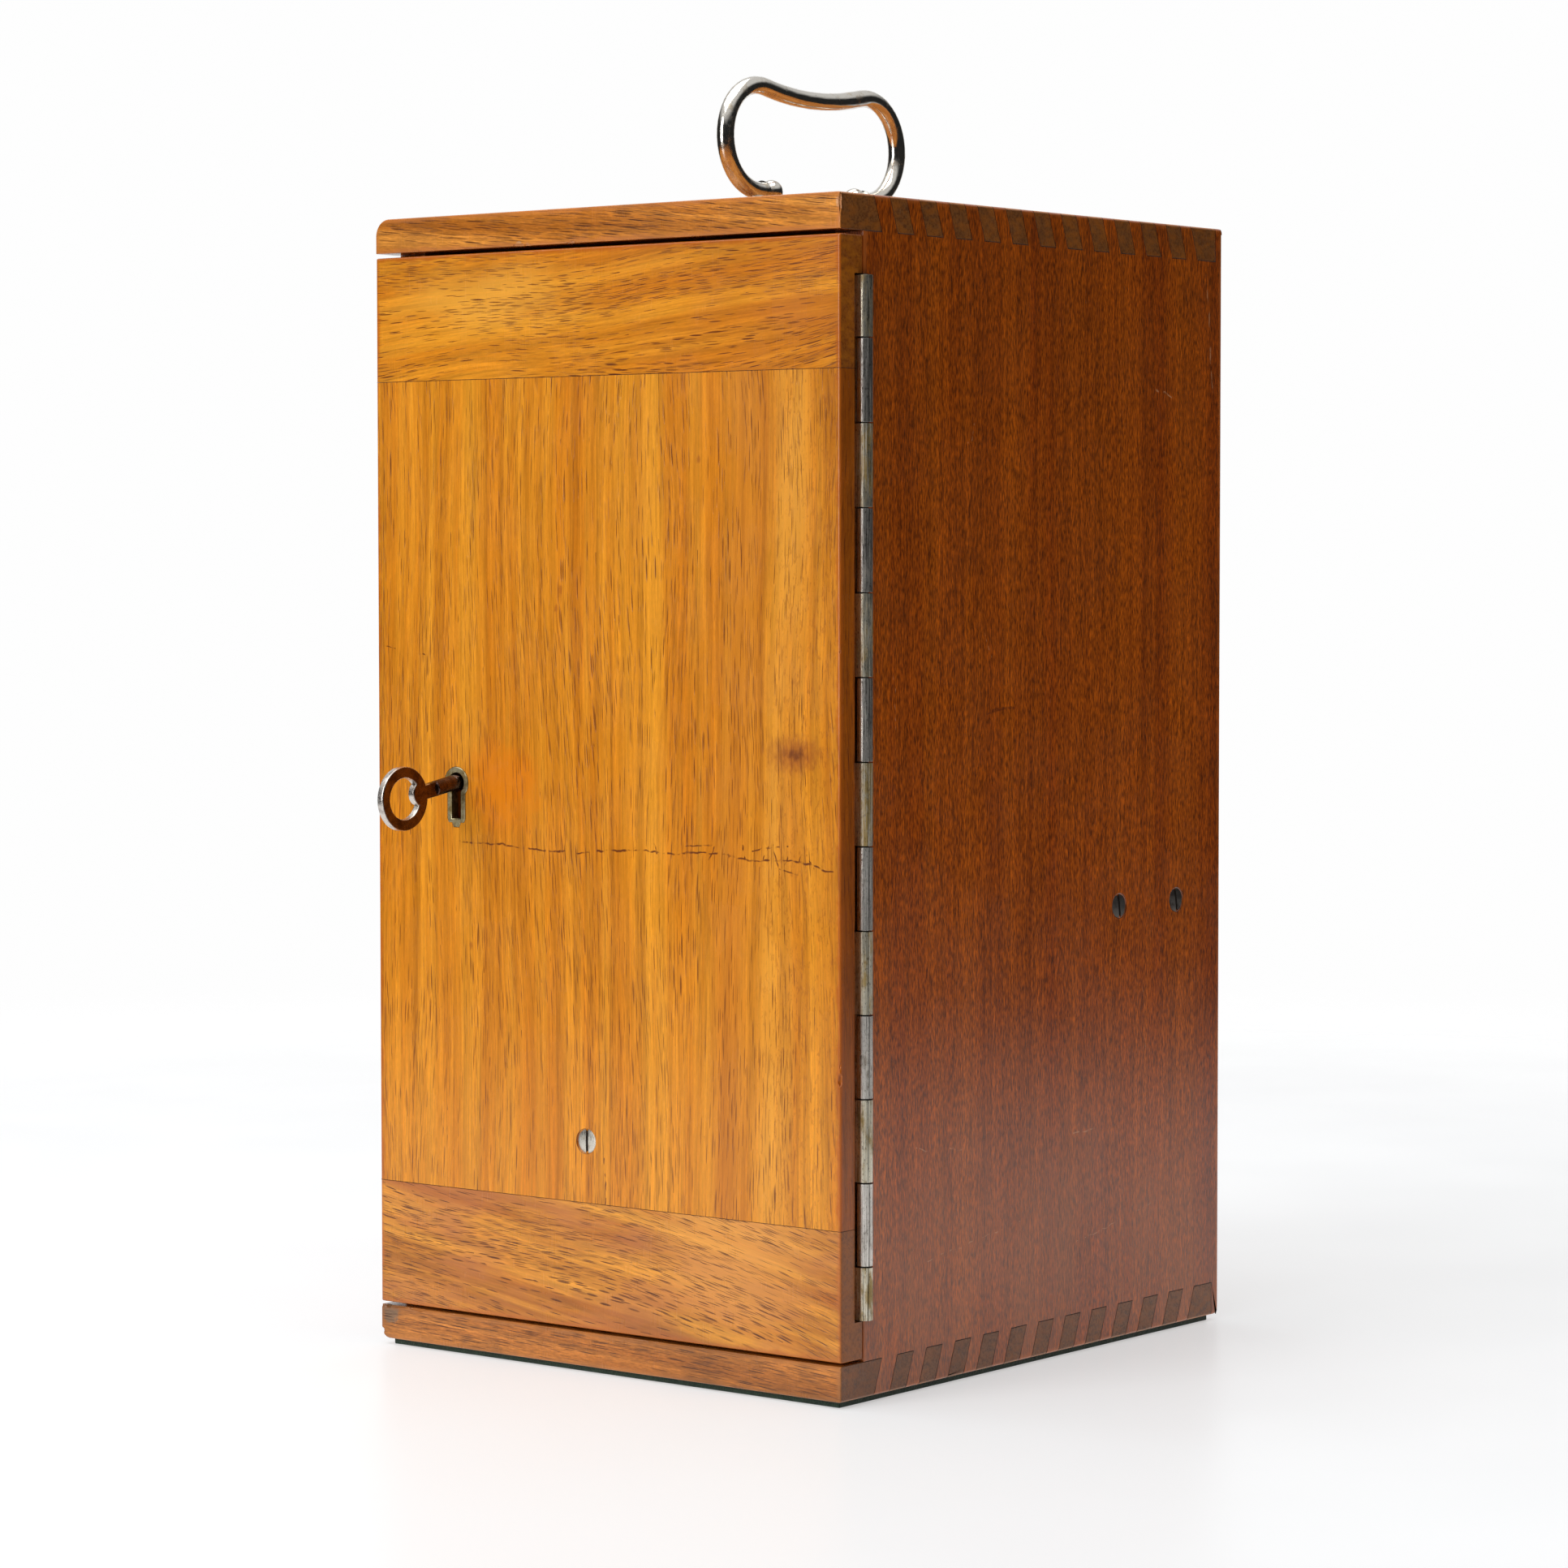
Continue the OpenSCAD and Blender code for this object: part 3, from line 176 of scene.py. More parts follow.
# Wood as it grows, along the grain's own axes: X runs along the fibres.
timber, g, inn, end = new_group(
    "Timber",
    {"Grain": "vector", "Wander": "value", "Pore length": "value", "Pore share": "value"},
    {"Figure": "value", "Streak": "value", "Fibre": "value", "Fleck": "value", "Pores": "value"},
)
drift = g.noise(inn["Grain"], (3.0, 11.0, 11.0), 2.0)
drift = g.times(g.minus(drift, 0.5), inn["Wander"])
ripple = g.noise(inn["Grain"], (22.0, 50.0, 50.0), 1.0)
ripple = g.times(g.minus(ripple, 0.5), 0.0012)
shift = g.put("ShaderNodeCombineXYZ", {1: g.plus(drift, ripple), 2: drift}).outputs[0]
lines = g.vector("ADD", inn["Grain"], shift)
figure = g.noise(lines, (2.0, 84.0, 84.0), 4.0, 0.7)
streak = g.noise(lines, (5.0, 420.0, 420.0), 3.0, 0.65)
fibre = g.noise(lines, (45.0, 1700.0, 1700.0), 2.0, 0.6)
fleck = g.noise(lines, (420.0, 2100.0, 2100.0), 1.0, 0.7)
crowd = g.remap(g.noise(lines, (12.0, 130.0, 130.0), 2.0, 0.6), 0.36, 0.66)
CELLS_PER_PORE = 2.9  # a pore takes up only part of its cell along the grain
ROW_STEP = 0.382  # each row of cells starts further along, so that pores form no bars
pores = None
along, across, through = g.parts(lines)
around = g.plus(across, through)
for spacing, offset in ((0.00046, 0.0), (0.00080, 0.37)):
    column = g.maths("DIVIDE", g.plus(around, offset), spacing)
    length = g.times(inn["Pore length"], CELLS_PER_PORE)
    row = g.maths("DIVIDE", g.plus(along, offset), length)
    row = g.plus(row, g.times(column, ROW_STEP))
    cells = g.put("ShaderNodeCombineXYZ", {0: row, 1: column}).outputs[0]
    cell = g.put(
        "ShaderNodeTexVoronoi", {"Vector": cells, "Scale": 1.0}, voronoi_dimensions="2D"
    ).outputs
    chance = g.parts(cell["Color"])[0]
    wanted = g.times(inn["Pore share"], g.plus(crowd, 0.12))
    chosen = g.maths("LESS_THAN", chance, wanted)
    size = g.remap(g.parts(cell["Color"])[1], 0.0, 1.0, 0.7, 1.15, "LINEAR")
    reach = g.maths("DIVIDE", cell["Distance"], size)
    dash = g.times(chosen, g.remap(reach, 0.15, 0.27, 1.0, 0.0))
    depth = g.remap(g.parts(cell["Color"])[2], 0.0, 1.0, 0.45, 1.0, "LINEAR")
    dash = g.times(dash, depth)
    pores = dash if pores is None else g.maths("MAXIMUM", pores, dash)
finish_group(g, end, Figure=figure, Streak=streak, Fibre=fibre, Fleck=fleck, Pores=pores)

# How far a point of a board lies from the board's nearest arris.
edges, g, inn, end = new_group(
    "Edge distance", {"Place": "vector", "Low": "vector", "High": "vector"}, {"Distance": "value"}
)
inside = g.vector(
    "MINIMUM",
    g.vector("SUBTRACT", inn["Place"], inn["Low"]),
    g.vector("SUBTRACT", inn["High"], inn["Place"]),
)
a, b, c = g.parts(inside)
middle = g.maths(
    "MAXIMUM", g.maths("MINIMUM", a, b), g.maths("MINIMUM", g.maths("MAXIMUM", a, b), c)
)
finish_group(g, end, Distance=middle)

# A hairline from one point to another, wavering a little and faint in places.
hairline, g, inn, end = new_group(
    "Hairline",
    {"Place": "vector", "From": "vector", "To": "vector", "Width": "value"},
    {"Mark": "value"},
)
sway = g.put("ShaderNodeTexNoise", {"Vector": inn["Place"], "Scale": 160.0, "Detail": 2.0})
sway = g.vector("MULTIPLY", g.vector("SUBTRACT", sway.outputs["Color"], (0.5,) * 3), (0.003,) * 3)
point = g.vector("SUBTRACT", g.vector("ADD", inn["Place"], sway), inn["From"])
run = g.vector("SUBTRACT", inn["To"], inn["From"])
share = g.maths(
    "DIVIDE", g.vector("DOT_PRODUCT", point, run), g.vector("DOT_PRODUCT", run, run), clamp=True
)
shares = g.put("ShaderNodeCombineXYZ", {0: share, 1: share, 2: share}).outputs[0]
foot = g.vector("MULTIPLY", run, shares)
away = g.maths("DIVIDE", g.vector("DISTANCE", point, foot), inn["Width"])
faint = g.remap(g.noise(inn["Place"], (420.0,) * 3, 1.0), 0.35, 0.55)
finish_group(g, end, Mark=g.times(g.remap(away, 0.4, 1.0, 1.0, 0.0), faint))

# Old varnish: how rough it is, and the fine scratches and hollows in it.
varnish, g, inn, end = new_group(
    "Old varnish", {"Place": "vector", "Pores": "value"}, {"Roughness": "value", "Height": "value"}
)
cloud = g.noise(inn["Place"], (38.0,) * 3, 3.0, 0.6)
rubbed = g.noise(inn["Place"], (900.0, 900.0, 60.0), 2.0)
peel = g.noise(inn["Place"], (330.0,) * 3, 2.0)
rough = g.plus(g.remap(cloud, 0.3, 0.7, 0.17, 0.27), g.times(rubbed, 0.08))
height = g.plus(g.times(peel, 0.10), g.times(rubbed, 0.05))
height = g.minus(height, g.times(inn["Pores"], 0.35))
finish_group(g, end, Roughness=rough, Height=height)

# Which of a piece's own axes runs along, across and through the grain.
ALONG_X = (0, 1, 2)
ALONG_X_UPRIGHT = (0, 2, 1)
ALONG_Z = (2, 0, 1)
ALONG_Z_SIDE = (2, 1, 0)


def wood(name, axes, start, colours, low, high, wander=0.02, pore_length=0.0055, pore_share=0.8,
         tilt=0.0, marks=(), dirt=0.5, coat=0.35, band=1.0, fleck=0.06, pore_depth=0.8):
    """Varnished timber. colours are: dark bands, light bands, pores, end grain, arrises.
    marks are functions that change the bare colour, before pores, dirt and wear."""
    made, g, shader = new_material(name)
    place = g.put("ShaderNodeTexCoord").outputs["Object"]
    normal = g.put("ShaderNodeTexCoord").outputs["Normal"]
    order = [g.parts(place)[k] for k in axes]
    across = g.plus(order[1], g.times(order[0], tilt))
    grain = g.put("ShaderNodeCombineXYZ", {0: order[0], 1: across, 2: order[2]}).outputs[0]
    grain = g.vector("ADD", grain, start)
    wooden = g.group(timber, Grain=grain, Wander=wander, Pore_length=pore_length,
                     Pore_share=pore_share)
    dark, light, pore, end_grain, worn = colours
    spread = 0.20 / band
    colour = g.mix(g.remap(wooden["Figure"], 0.5 - spread, 0.5 + spread), dark, light)
    lines = g.remap(wooden["Streak"], 0.32, 0.68, 0.78, 1.16, "LINEAR")
    fine = g.remap(wooden["Fibre"], 0.3, 0.7, 0.82, 1.14, "LINEAR")
    flecks = g.remap(wooden["Fleck"], 0.32, 0.68, 1 - fleck, 1 + fleck, "LINEAR")
    shade = g.times(g.times(lines, fine), flecks)
    shades = g.put("ShaderNodeCombineColor", {0: shade, 1: shade, 2: shade}).outputs[0]
    colour = g.mix(1.0, colour, shades, "MULTIPLY")
    pores = wooden["Pores"]
    for mark in marks:
        colour = mark(g, place, colour)
    colour = g.mix(g.times(pores, pore_depth), colour, pore)
    facing = g.maths("ABSOLUTE", g.parts(normal)[axes[0]])
    sawn = g.remap(facing, 0.75, 0.97)
    dots = g.noise(place, (1500.0,) * 3, 2.0)
    rings = g.noise(place, (60.0, 240.0, 500.0) if axes[0] == 0 else (120.0, 500.0, 60.0), 2.0)
    ends = g.mix(g.remap(dots, 0.45, 0.62, 0.0, 0.5), end_grain, pore)
    ends = g.mix(g.remap(rings, 0.35, 0.7, 0.0, 0.45), ends, dark)
    colour = g.mix(sawn, colour, ends)
    away = g.group(edges, Place=place, Low=low, High=high)["Distance"]
    uneven = g.noise(place, (130.0,) * 3, 3.0, 0.65)
    reach = g.times(uneven, 0.0032)
    rub = g.remap(g.minus(away, reach), -0.0012, 0.0004, 1.0, 0.0)
    rub = g.times(rub, g.minus(1.0, sawn))
    colour = g.mix(g.times(rub, 0.75), colour, worn)
    soot = g.noise(place, (26.0,) * 3, 3.0, 0.7)
    near = g.remap(away, 0.0, 0.014, 1.0, 0.15)
    grime = g.times(g.times(near, dirt), g.remap(soot, 0.42, 0.72))
    colour = g.mix(grime, colour, tint(70, 42, 22))
    joint = g.put("ShaderNodeAttribute", attribute_name="joint").outputs["Fac"]
    colour = g.mix(g.times(joint, 0.8), colour, tint(48, 24, 10))
    polish = g.group(varnish, Place=place, Pores=pores)
    bump = g.put("ShaderNodeBump", {"Height": polish["Height"], "Distance": 0.00022})
    bump.inputs["Strength"].default_value = 0.55
    wire(g, shader, Base_Color=colour, Roughness=polish["Roughness"], Normal=bump.outputs[0])
    shader.inputs["Specular IOR Level"].default_value = 0.25
    shader.inputs["Coat Weight"].default_value = coat
    shader.inputs["Coat Roughness"].default_value = 0.16
    return made


def merged_mesh(node):
    """A CAD node's loose triangles, joined where they meet."""
    bm = bmesh.new()
    bm.from_mesh(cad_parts[node].data)
    bmesh.ops.remove_doubles(bm, verts=bm.verts, dist=0.002 * MM)
    return bm


def solids(node):
    """The lowest and highest corner of each separate solid in a CAD node."""
    bm = merged_mesh(node)
    left, found = set(bm.verts), []
    while left:
        edge = [left.pop()]
        island = set(edge)
        while edge:
            for link in edge.pop().link_edges:
                for other in link.verts:
                    if other in left:
                        left.discard(other)
                        island.add(other)
                        edge.append(other)
        found.append((
            Vector(min(v.co[k] for v in island) for k in range(3)),
            Vector(max(v.co[k] for v in island) for k in range(3)),
        ))
    bm.free()
    return sorted(found, key=lambda box: tuple(round(c, 5) for c in box[0]))


def merged_copy(node, name, *holes):
    """A CAD node's shape as an object of its own, with its triangles joined into whole faces.
    holes are nodes that lie in holes of this one: faces are also divided round them, so that
    no edge runs from a hole to an arris."""
    bm = merged_mesh(node)
    low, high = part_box(node)
    planes = set()
    for hole in holes:
        for start, end in solids(hole):
            for axis in range(3):
                for at in (start[axis] - 1.5 * MM, end[axis] + 1.5 * MM):
                    if low[axis] + 3 * MM < at < high[axis] - 3 * MM:
                        planes.add((axis, round(at, 4)))
    for axis, at in sorted(planes):
        way = Vector(float(k == axis) for k in range(3))
        whole = bm.verts[:] + bm.edges[:] + bm.faces[:]
        cut = bmesh.ops.bisect_plane(
            bm, geom=whole, dist=0.001 * MM, plane_co=way * at, plane_no=way
        )
        for part in cut["geom_cut"]:
            if isinstance(part, bmesh.types.BMEdge):
                part.seam = True
    bmesh.ops.dissolve_limit(
        bm, angle_limit=math.radians(0.4), verts=bm.verts, edges=bm.edges, delimit={"SEAM"}
    )
    return new_piece(bm, name)


def new_piece(bm, name):
    mesh = bpy.data.meshes.new(name)
    bm.to_mesh(mesh)
    bm.free()
    piece = bpy.data.objects.new(name, mesh)
    bpy.context.scene.collection.objects.link(piece)
    return piece


def settle(piece):
    """Turns what a piece's modifiers make into its plain mesh."""
    graph = bpy.context.evaluated_depsgraph_get()
    shape = bpy.data.meshes.new_from_object(piece.evaluated_get(graph), depsgraph=graph)
    piece.modifiers.clear()
    piece.data = shape


def box_of(piece):
    corners = [v.co for v in piece.data.vertices]
    return (
        Vector(min(c[k] for c in corners) for k in range(3)),
        Vector(max(c[k] for c in corners) for k in range(3)),
    )


def on_planes(place, low, high, near=0.25 * MM):
    """How many of a box's six planes a point lies on."""
    return sum(
        abs(place[k] - low[k]) < near or abs(place[k] - high[k]) < near for k in range(3)
    )


def soften(piece, width_at, segments=3, joints=False):
    """Rounds a piece's sharp outward edges by width_at(the edge's middle), in metres. With
    joints, the finest roundings are joint lines, marked by an attribute for the material."""
    bm = bmesh.new()
    bm.from_mesh(piece.data)
    layer = bm.edges.layers.float.new("bevel_weight_edge")
    edges = []
    for edge in bm.edges:
        if len(edge.link_faces) == 2 and edge.is_convex and edge.calc_face_angle() > 0.5:
            start, end = (v.co.copy() for v in edge.verts)
            edges.append((edge, start, end, width_at((start + end) / 2)))
    widest = max(width for _, _, _, width in edges)
    for edge, _, _, width in edges:
        edge[layer] = width / widest
    bm.to_mesh(piece.data)
    bm.free()
    piece.data.materials.append(None)
    piece.data.materials.append(None)
    bevel = piece.modifiers.new("Rounding", "BEVEL")
    bevel.limit_method = "WEIGHT"
    bevel.width = widest
    bevel.segments = segments
    bevel.material = 1
    bevel.use_clamp_overlap = False
    low, high = box_of(piece)
    settle(piece)
    for v in piece.data.vertices:
        v.co = Vector(min(max(v.co[k], low[k]), high[k]) for k in range(3))
    if joints:
        mark_joints(piece, edges)
    for face in piece.data.polygons:
        face.material_index = 0


def mark_joints(piece, edges):
    """Gives the rounded faces beside joint lines the value 1 in the attribute joint."""
    spots = []
    for _, start, end, width in edges:
        count = 1 + round((end - start).length / MM)
        spots += [(start.lerp(end, k / count), width) for k in range(count + 1)]
    tree = KDTree(len(spots))
    for k, (place, _) in enumerate(spots):
        tree.insert(place, k)
    tree.balance()
    joint = piece.data.attributes.new("joint", "FLOAT", "FACE")
    for face in piece.data.polygons:
        if face.material_index == 1:
            nearest = tree.find(face.center)[1]
            joint.data[face.index].value = float(spots[nearest][1] < 0.2 * MM)


def chip(piece, at, size, seed):
    """Breaks a splinter off a piece: takes away an uneven stone of that size at that place."""
    bm = bmesh.new()
    bmesh.ops.create_icosphere(bm, subdivisions=3, radius=1.0)
    for v in bm.verts:
        bump = 1 + 0.45 * noise.noise(v.co * 1.7 + Vector((seed, 0, 0)))
        v.co = Vector(at) + Vector(v.co[k] * size[k] * bump for k in range(3))
    stone = new_piece(bm, "stone")
    cut = piece.modifiers.new("Chip", "BOOLEAN")
    cut.object = stone
    cut.operation = "DIFFERENCE"
    cut.solver = "EXACT"
    settle(piece)
    bpy.data.objects.remove(stone)


def smooth(piece, angle=38):
    """Shades a piece smooth, apart from its sharp edges, and keeps its flat faces flat."""
    for face in piece.data.polygons:
        face.use_smooth = True
    piece.data.set_sharp_from_angle(angle=math.radians(angle))
    weighted = piece.modifiers.new("Flat faces", "WEIGHTED_NORMAL")
    weighted.keep_sharp = True
    weighted.weight = 100
    settle(piece)


def place_piece(piece, body, slot, material, *stands_for):
    piece.data.materials.clear()
    piece.data.materials.append(material)
    if stands_for:
        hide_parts(*stands_for)
    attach(piece, body)
    return piece


case_low = Vector((*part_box("top_board")[0][:2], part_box("bottom_board")[0][2]))
case_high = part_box("top_board")[1]
front_y = case_low.y
MAHOGANY = (
    tint(186, 104, 26), tint(226, 148, 60), tint(70, 28, 8), tint(136, 84, 40), tint(204, 124, 60)
)


def board_edges(outer, front):
    """Widths of a case board's arrises: outer ones, those of its front edge, joint lines."""
    def width(place):
        if abs(place.y - front_y) < 0.25 * MM:
            return front
        planes = on_planes(place, case_low, case_high)
        return outer if planes > 1 else 0.14 * MM
    return width


def board_marks(chips):
    """Scars in the colour of a board: paler wood where splinters came off."""
    def mark(g, place, colour):
        for at, radius, scar in chips:
            away = g.vector("DISTANCE", place, at)
            rough = g.times(g.noise(place, (700.0,) * 3, 2.0), radius * 0.8)
            colour = g.mix(g.remap(g.plus(away, rough), radius, radius * 1.3, 0.8, 0.0),
                           colour, scar)
        return colour
    return mark


bottom_low, bottom_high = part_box("bottom_board")
bruise = Vector((bottom_low.x + 4 * MM, front_y, bottom_high.z - 2 * MM))
bottom_board = merged_copy("bottom_board", "board_bottom", "cleat_screws")
soften(bottom_board, board_edges(0.9 * MM, 0.6 * MM), joints=True)
for k, (x, size) in enumerate((
    (-92.8, (3.4, 1.2, 1.2)), (-88.0, (5.2, 0.7, 0.7)), (-78.5, (4.0, 0.9, 0.9)),
    (-60.0, (6.0, 0.6, 0.5)), (-31.0, (3.0, 0.5, 0.5)), (20.0, (4.0, 0.4, 0.4)),
)):
    chip(bottom_board, (x * MM, front_y, bottom_high.z), [s * MM for s in size], k)
chip(bottom_board, (bottom_low.x, front_y, bottom_low.z + 2.2 * MM), [1.4 * MM] * 3, 11)
smooth(bottom_board)
place_piece(
    bottom_board, "case", "board_wood",
    wood("Bottom board", ALONG_X_UPRIGHT, (0.4, 0.13, 0.2),
         (tint(160, 88, 26), tint(216, 136, 58), tint(54, 22, 10), tint(132, 82, 44),
          tint(176, 110, 54)),
         bottom_low, bottom_high, wander=0.006, pore_share=1.2, tilt=0.05, dirt=0.45, fleck=0.2,
         pore_depth=0.95,
         marks=[board_marks([(bruise, 5 * MM, tint(128, 108, 86))])]),
    "bottom_board",
)


# The felt under the bottom board: dark green wool, cut a little smaller than the
# board and glued on. Its cut edge shows as a thin dark line along the floor.
felt, g, inn, end = new_group(
    "Wool felt", {"Place": "vector"}, {"Colour": "colour", "Height": "value"}
)
hairs = g.noise(inn["Place"], (2600.0, 1500.0, 2100.0), 3.0, 0.7)
lumps = g.noise(inn["Place"], (260.0,) * 3, 3.0, 0.6)
shade = g.plus(g.times(hairs, 0.7), g.times(lumps, 0.3))
finish_group(
    g, end, Colour=g.mix(g.remap(shade, 0.3, 0.7), tint(12, 26, 20), tint(44, 66, 50)), Height=shade
)


def felt_material():
    made, g, shader = new_material("Green felt")
    place = g.put("ShaderNodeTexCoord").outputs["Object"]
    woolly = g.group(felt, Place=place)
    bump = g.put("ShaderNodeBump", {"Height": woolly["Height"], "Distance": 0.0004})
    wire(g, shader, Base_Color=woolly["Colour"], Normal=bump.outputs[0])
    shader.inputs["Roughness"].default_value = 0.95
    shader.inputs["Specular IOR Level"].default_value = 0.1
    shader.inputs["Sheen Weight"].default_value = 0.35
    shader.inputs["Sheen Roughness"].default_value = 0.5
    return made


green_felt = felt_material()


def fuzzy(piece, reach, grain):
    """Makes a felt surface uneven, by no more than reach."""
    for v in piece.data.vertices:
        lean = noise.noise_vector(v.co * grain)
        v.co += Vector(reach * lean[k] for k in range(3))


def felt_slab(name, low, high, step, rounding):
    """A felt pad between two corners, with rounded cut edges."""
    bm = bmesh.new()
    bmesh.ops.create_cube(bm, size=1.0)
    for v in bm.verts:
        v.co = Vector((low[k] + high[k]) / 2 + v.co[k] * (high[k] - low[k]) for k in range(3))
    counts = [max(1, round((high[k] - low[k]) / step)) for k in range(3)]
    for k, count in enumerate(counts):
        for n in range(1, count):
            at = Vector((0, 0, 0))
            at[k] = low[k] + (high[k] - low[k]) * n / count
            way = Vector((0, 0, 0))
            way[k] = 1
            geometry = bm.verts[:] + bm.edges[:] + bm.faces[:]
            bmesh.ops.bisect_plane(bm, geom=geometry, plane_co=at, plane_no=way)
    piece = new_piece(bm, name)
    soften(piece, lambda place: rounding, 2)
    return piece


felt_low, felt_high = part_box("base_felt")
inset = Vector((0.15 * MM, 0.15 * MM, 0.0))
base_felt = felt_slab("felt_under_case", felt_low + inset, felt_high - inset, 6 * MM, 0.3 * MM)
for v in base_felt.data.vertices:
    lean = noise.noise_vector(v.co * 300)
    v.co.x += 0.12 * MM * lean.x
    v.co.y += 0.12 * MM * lean.y
smooth(base_felt, 60)
place_piece(base_felt, "case", "felt", green_felt, "base_felt")


# The two side boards: mahogany with upright grain, varnished a dark red-brown.
# Their pins fill the spaces between the fingers, and knocks and rubs have left
# short pale scratches on them. Low down they are painted paler, a painted
# reflection of the white floor in their varnish.
SIDE_WOOD = (
    tint(154, 66, 3), tint(182, 87, 6), tint(84, 32, 4), tint(152, 84, 28), tint(196, 104, 40)
)
SIDE_SCRATCHES = (
    # start and end of each scratch on the right side: Y and Z in millimetres
    ((64.9, 312.2), (74.5, 309.0), 0.45), ((-42.1, 295.7), (-39.6, 292.5), 0.25),
    ((-34.9, 300.6), (-37.4, 293.0), 0.25), ((-66.2, 75.0), (-60.4, 73.9), 0.35),
    ((-48.5, 73.7), (-42.1, 72.5), 0.40), ((18.5, 71.8), (31.4, 71.8), 0.35),
    ((-31.7, 235.9), (-26.5, 225.7), 0.22), ((95.6, 345.0), (99.0, 312.0), 0.50),
    ((-60.0, 40.0), (-8.0, 47.0), 0.22), ((20.0, 36.0), (64.0, 44.0), 0.22),
    ((-78.0, 228.0), (-76.5, 204.0), 0.20), ((58.0, 120.0), (60.0, 96.0), 0.20),
)


def side_marks(x):
    def mark(g, place, colour):
        pale = None
        for (y0, z0), (y1, z1), width in SIDE_SCRATCHES:
            line = g.group(
                hairline, Place=place, From=(x, y0 * MM, z0 * MM), To=(x, y1 * MM, z1 * MM),
                Width=width * MM,
            )["Mark"]
            pale = line if pale is None else g.maths("MAXIMUM", pale, line)
        colour = g.mix(g.times(pale, 0.7), colour, tint(214, 150, 104))
        crack = g.group(
            hairline, Place=place, From=(x, -30 * MM, 208 * MM), To=(x, -14 * MM, 210 * MM),
            Width=0.7 * MM,
        )["Mark"]
        colour = g.mix(g.times(crack, 0.6), colour, tint(84, 34, 14))
        # Painted reflection: the lowest 12 cm of the board is painted paler, fading upwards, for the
        # white floor mirrored in the varnish. The mask worn here holds this painted reflection, not
        # wear.
        low = g.remap(g.parts(place)[2], 0.0, 0.12, 0.45, 0.0)
        worn = g.times(low, g.remap(g.noise(place, (20.0, 20.0, 9.0), 3.0), 0.3, 0.7))
        return g.mix(worn, colour, tint(172, 108, 66))
    return mark


for node, name, start in (
    ("right_side", "board_right", (0.0, 0.2, 0.05)), ("left_side", "board_left", (0.9, 0.5, 0.3)),
):
    low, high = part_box(node)
    side = merged_copy(node, name, *(
        ("side_screws_right", "hinge_pin") if node == "right_side"
        else ("side_screws_left", "strike_plate")
    ))
    soften(
        side, lambda place: 0.5 * MM if on_planes(place, low, high) > 1 else 0.14 * MM,
        joints=True,
    )
    smooth(side)
    outer_x = high.x if node == "right_side" else low.x
    place_piece(
        side, "case", "side_wood",
        wood(name, ALONG_Z_SIDE, start, SIDE_WOOD, low, high, wander=0.01, pore_length=0.0045,
             pore_share=0.35, dirt=0.35, coat=0.6, band=0.8, fleck=0.6,
             marks=[side_marks(outer_x)]),
        node,
    )


# The top board: mahogany like the bottom one. Splinters are missing along the
# lower front edge, above the door, and the near corner is worn to bare wood.
top_low, top_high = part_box("top_board")
top_board = merged_copy("top_board", "board_top")
soften(top_board, board_edges(0.6 * MM, 0.45 * MM), joints=True)
SPLINTERS = (
    (-33.0, (3.2, 0.8, 0.8)), (-29.5, (2.0, 0.5, 0.5)), (-11.0, (1.8, 0.7, 0.7)),
    (-70.0, (3.0, 0.35, 0.3)), (26.0, (4.0, 0.35, 0.3)), (61.0, (5.0, 0.4, 0.35)),
)
for k, (x, size) in enumerate(SPLINTERS):
    chip(top_board, (x * MM, front_y, top_low.z), [s * MM for s in size], 20 + k)
chip(top_board, (top_high.x, front_y, top_high.z - 3.0 * MM), (0.7 * MM, 0.7 * MM, 3.5 * MM), 31)
smooth(top_board)
scars = [(Vector((x * MM, front_y, top_low.z)), size[0] * 0.6 * MM, tint(214, 170, 124))
         for x, size in SPLINTERS[:3]]
scars.append((Vector((top_high.x, front_y, top_high.z - 3 * MM)), 2.4 * MM, tint(232, 196, 160)))
place_piece(
    top_board, "case", "board_wood",
    wood("Top board", ALONG_X_UPRIGHT, (0.1, 0.3, 0.7), MAHOGANY, top_low, top_high,
         wander=0.010, pore_share=1.2, tilt=0.07, dirt=0.3, fleck=0.16, pore_depth=0.95,
         marks=[board_marks(scars)]),
    "top_board",
)


# The back panel: a thinner mahogany board, let into a rebate all round and held
# by brass wood screws down both sides.
back_low, back_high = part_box("back_panel")
back = merged_copy("back_panel", "panel_back", "back_screws")
soften(back, lambda place: 0.25 * MM)
smooth(back)
place_piece(
    back, "case", "back_wood",
    wood("Back panel", ALONG_Z, (0.3, 0.8, 0.1),
         (tint(150, 76, 24), tint(190, 108, 42), tint(84, 40, 14), tint(140, 80, 30),
          tint(170, 96, 44)),
         back_low, back_high, wander=0.02, pore_share=0.8, dirt=0.6),
    "back_panel",
)


